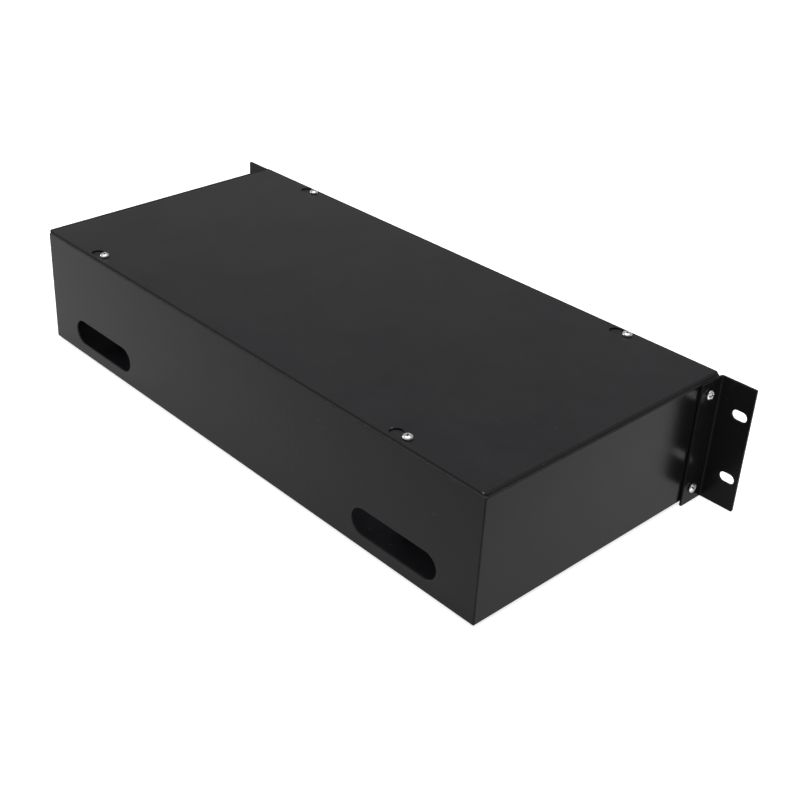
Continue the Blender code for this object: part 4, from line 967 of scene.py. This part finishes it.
screwTurns = (0.35, 1.1, 0.6, 0.2)
for n, turn in enumerate(screwTurns, 1):
    addScrew(f"coverScrew{n}", f"cover_screw_{n}", (0, 0, 1), "cover_fixings", turn, coverScrew)
    side = -1 if middleOf(f"ear_screw_{n}")[0] < 0 else 1
    addScrew(f"earScrew{n}", f"ear_screw_{n}", (side, 0, 0), "box", turn + 0.4)
    addScrew(f"panelScrew{n}", f"panel_screw_{n}", (0, -1, 0), "box", turn + 0.9)
print("screws made")


panel = dict(
    corner=1.5 * mm, rim=0.25 * mm, holeHeight=13.0 * mm, holeClearance=0.25 * mm, holeCorner=0.5 * mm,
    screwHole=1.8 * mm,
)


def adapterNodes():
    return sorted(name for name in frame["nodes"] if name.startswith("adapter_") and name[-1].isdigit())


def panelSheet():
    # a flat sheet with a hole for each adapter's body and one for each screw
    low, high = boxOf("adapter_panel")
    outlines = [rectangleOutline((low[0], low[2]), (high[0], high[2]), panel["corner"])]
    clear = panel["holeClearance"]
    reach = panel["holeHeight"] / 2 + clear
    for node in adapterNodes():
        nodeLow, nodeHigh = boxOf(node)
        middleZ = (nodeLow[2] + nodeHigh[2]) / 2
        outlines.append(rectangleOutline(
            (nodeLow[0] - clear, middleZ - reach), (nodeHigh[0] + clear, middleZ + reach), panel["holeCorner"]))
    for x, y, z in panelScrews:
        outlines.append(circleOutline((x, z), panel["screwHole"]))

    def fold(u, v, depth):
        return np.stack([u, low[1] - depth, v], 1)

    return sheetSurface(outlines, high[1] - low[1], panel["rim"], fold)


addPiece("panelSheet", panelSheet(), blackBody, "box", ["adapter_panel"])
print("adapter panel made")


sleeve = dict(outer=1.72 * mm, inner=1.32 * mm, edge=0.12 * mm, recess=5.0 * mm, proud=0.04 * mm, around=40)


def ceramicSleeves():
    # A closed profile turned about each adapter's middle line: round one mouth's edges from the
    # outer wall to the bore, and round the other mouth's edges back.
    outer, inner, edge = sleeve["outer"], sleeve["inner"], sleeve["edge"]
    mouth = np.array([(outer, edge), (outer - edge * 0.3, edge * 0.3), (outer - edge, 0.0),
                      (inner + edge, 0.0), (inner + edge * 0.3, edge * 0.3), (inner, edge)])
    faces = gridQuads(2 * len(mouth), sleeve["around"], closedRows=True, closedColumns=True).tolist()
    parts = []
    for node in adapterNodes():
        low, high = boxOf(node)
        start = low[1] + sleeve["recess"] - sleeve["proud"]
        end = high[1] - sleeve["recess"] + sleeve["proud"]
        profile = np.concatenate([mouth * (1, 1) + (0, start), mouth[::-1] * (1, -1) + (0, end)])
        rings = ringsAbout(profile[:, :1], profile[:, 1:], sleeve["around"])[..., [0, 2, 1]]
        points = rings.reshape(-1, 3) + (low + high) / 2 * (1, 0, 1)
        parts.append((points, faces, 0.0))
    return joined(parts)


rounding = dict(
    adapter=0.18 * mm, cap=0.25 * mm, tray=0.3 * mm, lid=0.25 * mm, nut=0.2 * mm, anchor=0.25 * mm, screw=0.15 * mm,
)
sideHardware = (
    ("tray_stud", nickelBrass, "nickel_brass", rounding["nut"]),
    ("tray_nut", nickelBrass, "nickel_brass", rounding["nut"]),
    ("cable_anchor", galvanised, "galvanised", rounding["anchor"]),
    ("strength_post", nickelBrass, "nickel_brass", rounding["nut"]),
    ("post_screw", brightZinc, "zinc_screw", rounding["screw"]),
)

for node in adapterNodes():
    cap = node.replace("adapter", "dust_cap")
    roundedCopy(node, adapterBlue, "box", rounding["adapter"])
    roundedCopy(cap, capWhite, cap, rounding["cap"])
addPiece("ceramicSleeves", ceramicSleeves(), ceramicWhite, "box", weighted=False)
roundedCopy("splice_tray", trayGrey, "box", rounding["tray"])
roundedCopy("tray_lid", lidClear, "lid", rounding["lid"])
for side in ("left", "right"):
    for name, material, slot, width in sideHardware:
        roundedCopy(f"{name}_{side}", material, "box", width)
for node in ("earth_stud", "earth_nut"):
    roundedCopy(node, nickelBrass, "box", rounding["nut"])
print("inside pieces made")


stage = dict(
    floorSize=8.0, floorColour=(0.80, 0.80, 0.80), floorPatch=(0.82, 0.82, 0.82), floorGlow=0.80,
    # the world's strength by the height of a direction: straight down, level, and so on to straight up
    worldSteps=((-1.0, 0.8), (0.0, 0.62), (0.28, 0.36), (0.45, 0.30), (0.75, 0.40), (1.0, 0.7)),
    lamps=dict(
        overhead=dict(place=(0.0, 0.1, 1.9), aim=(0.0, 0.0, 0.0), size=1.8, power=18.0),
        farSide=dict(place=(2.1, 1.1, 0.55), aim=(0.2, 0.1, 0.05), size=0.9, power=13.0),
        # a weak glow under the cover, which neither the camera nor a shiny surface sees
        insideFill=dict(
            place=(0.0, 0.01, 0.084), aim=(0.0, 0.01, 0.0), size=0.15, power=0.34, stretch=2.6, hidden=True),
    ),
)


def addFloor():
    half, level = stage["floorSize"] / 2, solidBounds[0][2] - 0.1 * mm
    mesh = bpy.data.meshes.new("floor")
    mesh.from_pydata([(-half, -half, level), (half, -half, level), (half, half, level), (-half, half, level)], [],
                     [(0, 1, 2, 3)])
    floor = bpy.data.objects.new("floor", mesh)
    bpy.context.scene.collection.objects.link(floor)
    material, tree, shader = newMaterial("paleFloor")
    shader.inputs["Roughness"].default_value = 0.9
    shader.inputs["Specular IOR Level"].default_value = 0.0
    paper = addNode(tree, "ShaderNodeTexNoise", {"Scale": 60.0, "Detail": 4.0}).outputs["Fac"]
    colour = mixColours(tree, paper, stage["floorColour"], stage["floorPatch"])
    tree.links.new(colour, shader.inputs["Base Color"])
    path = addNode(tree, "ShaderNodeLightPath")
    seen = path.outputs["Is Camera Ray"]
    for other in ("Is Glossy Ray", "Is Transmission Ray"):
        seen = mathNode(tree, "MAXIMUM", seen, path.outputs[other])
    shader.inputs["Emission Color"].default_value = (1, 1, 1, 1)
    tree.links.new(mathNode(tree, "MULTIPLY", seen, stage["floorGlow"]), shader.inputs["Emission Strength"])
    mesh.materials.append(material)


def addWorld():
    world = bpy.data.worlds.new("studio")
    bpy.context.scene.world = world
    world.use_nodes = True
    tree = world.node_tree
    background = tree.nodes["Background"]
    direction = addNode(tree, "ShaderNodeSeparateXYZ", {0: addNode(tree, "ShaderNodeTexCoord").outputs["Generated"]})
    ramp = addNode(tree, "ShaderNodeValToRGB", {"Fac": mapRange(tree, direction.outputs["Z"], -1.0, 1.0)})
    stops = ramp.color_ramp.elements
    while len(stops) < len(stage["worldSteps"]):
        stops.new(0.5)
    for stop, (level, strength) in zip(stops, stage["worldSteps"]):
        stop.position = (level + 1) / 2
        stop.color = (strength, strength, strength, 1)
    path = addNode(tree, "ShaderNodeLightPath")
    shown = mixColours(tree, path.outputs["Is Camera Ray"], ramp.outputs["Color"], (1, 1, 1))
    tree.links.new(shown, background.inputs["Color"])


def addLamps():
    for name, values in stage["lamps"].items():
        data = bpy.data.lights.new(name, "AREA")
        data.shape = "SQUARE"
        data.size = values["size"]
        data.energy = values["power"]
        lamp = bpy.data.objects.new(name, data)
        place, aim = Vector(values["place"]), Vector(values["aim"])
        lamp.location = place
        lamp.rotation_euler = (place - aim).to_track_quat("Z", "Y").to_euler()
        lamp.scale.x = values.get("stretch", 1.0)
        if values.get("hidden"):
            lamp.visible_camera = lamp.visible_glossy = lamp.visible_transmission = False
        bpy.context.scene.collection.objects.link(lamp)


addFloor()
addWorld()
addLamps()
bpy.context.scene.view_settings.view_transform = "Standard"
print("stage set")
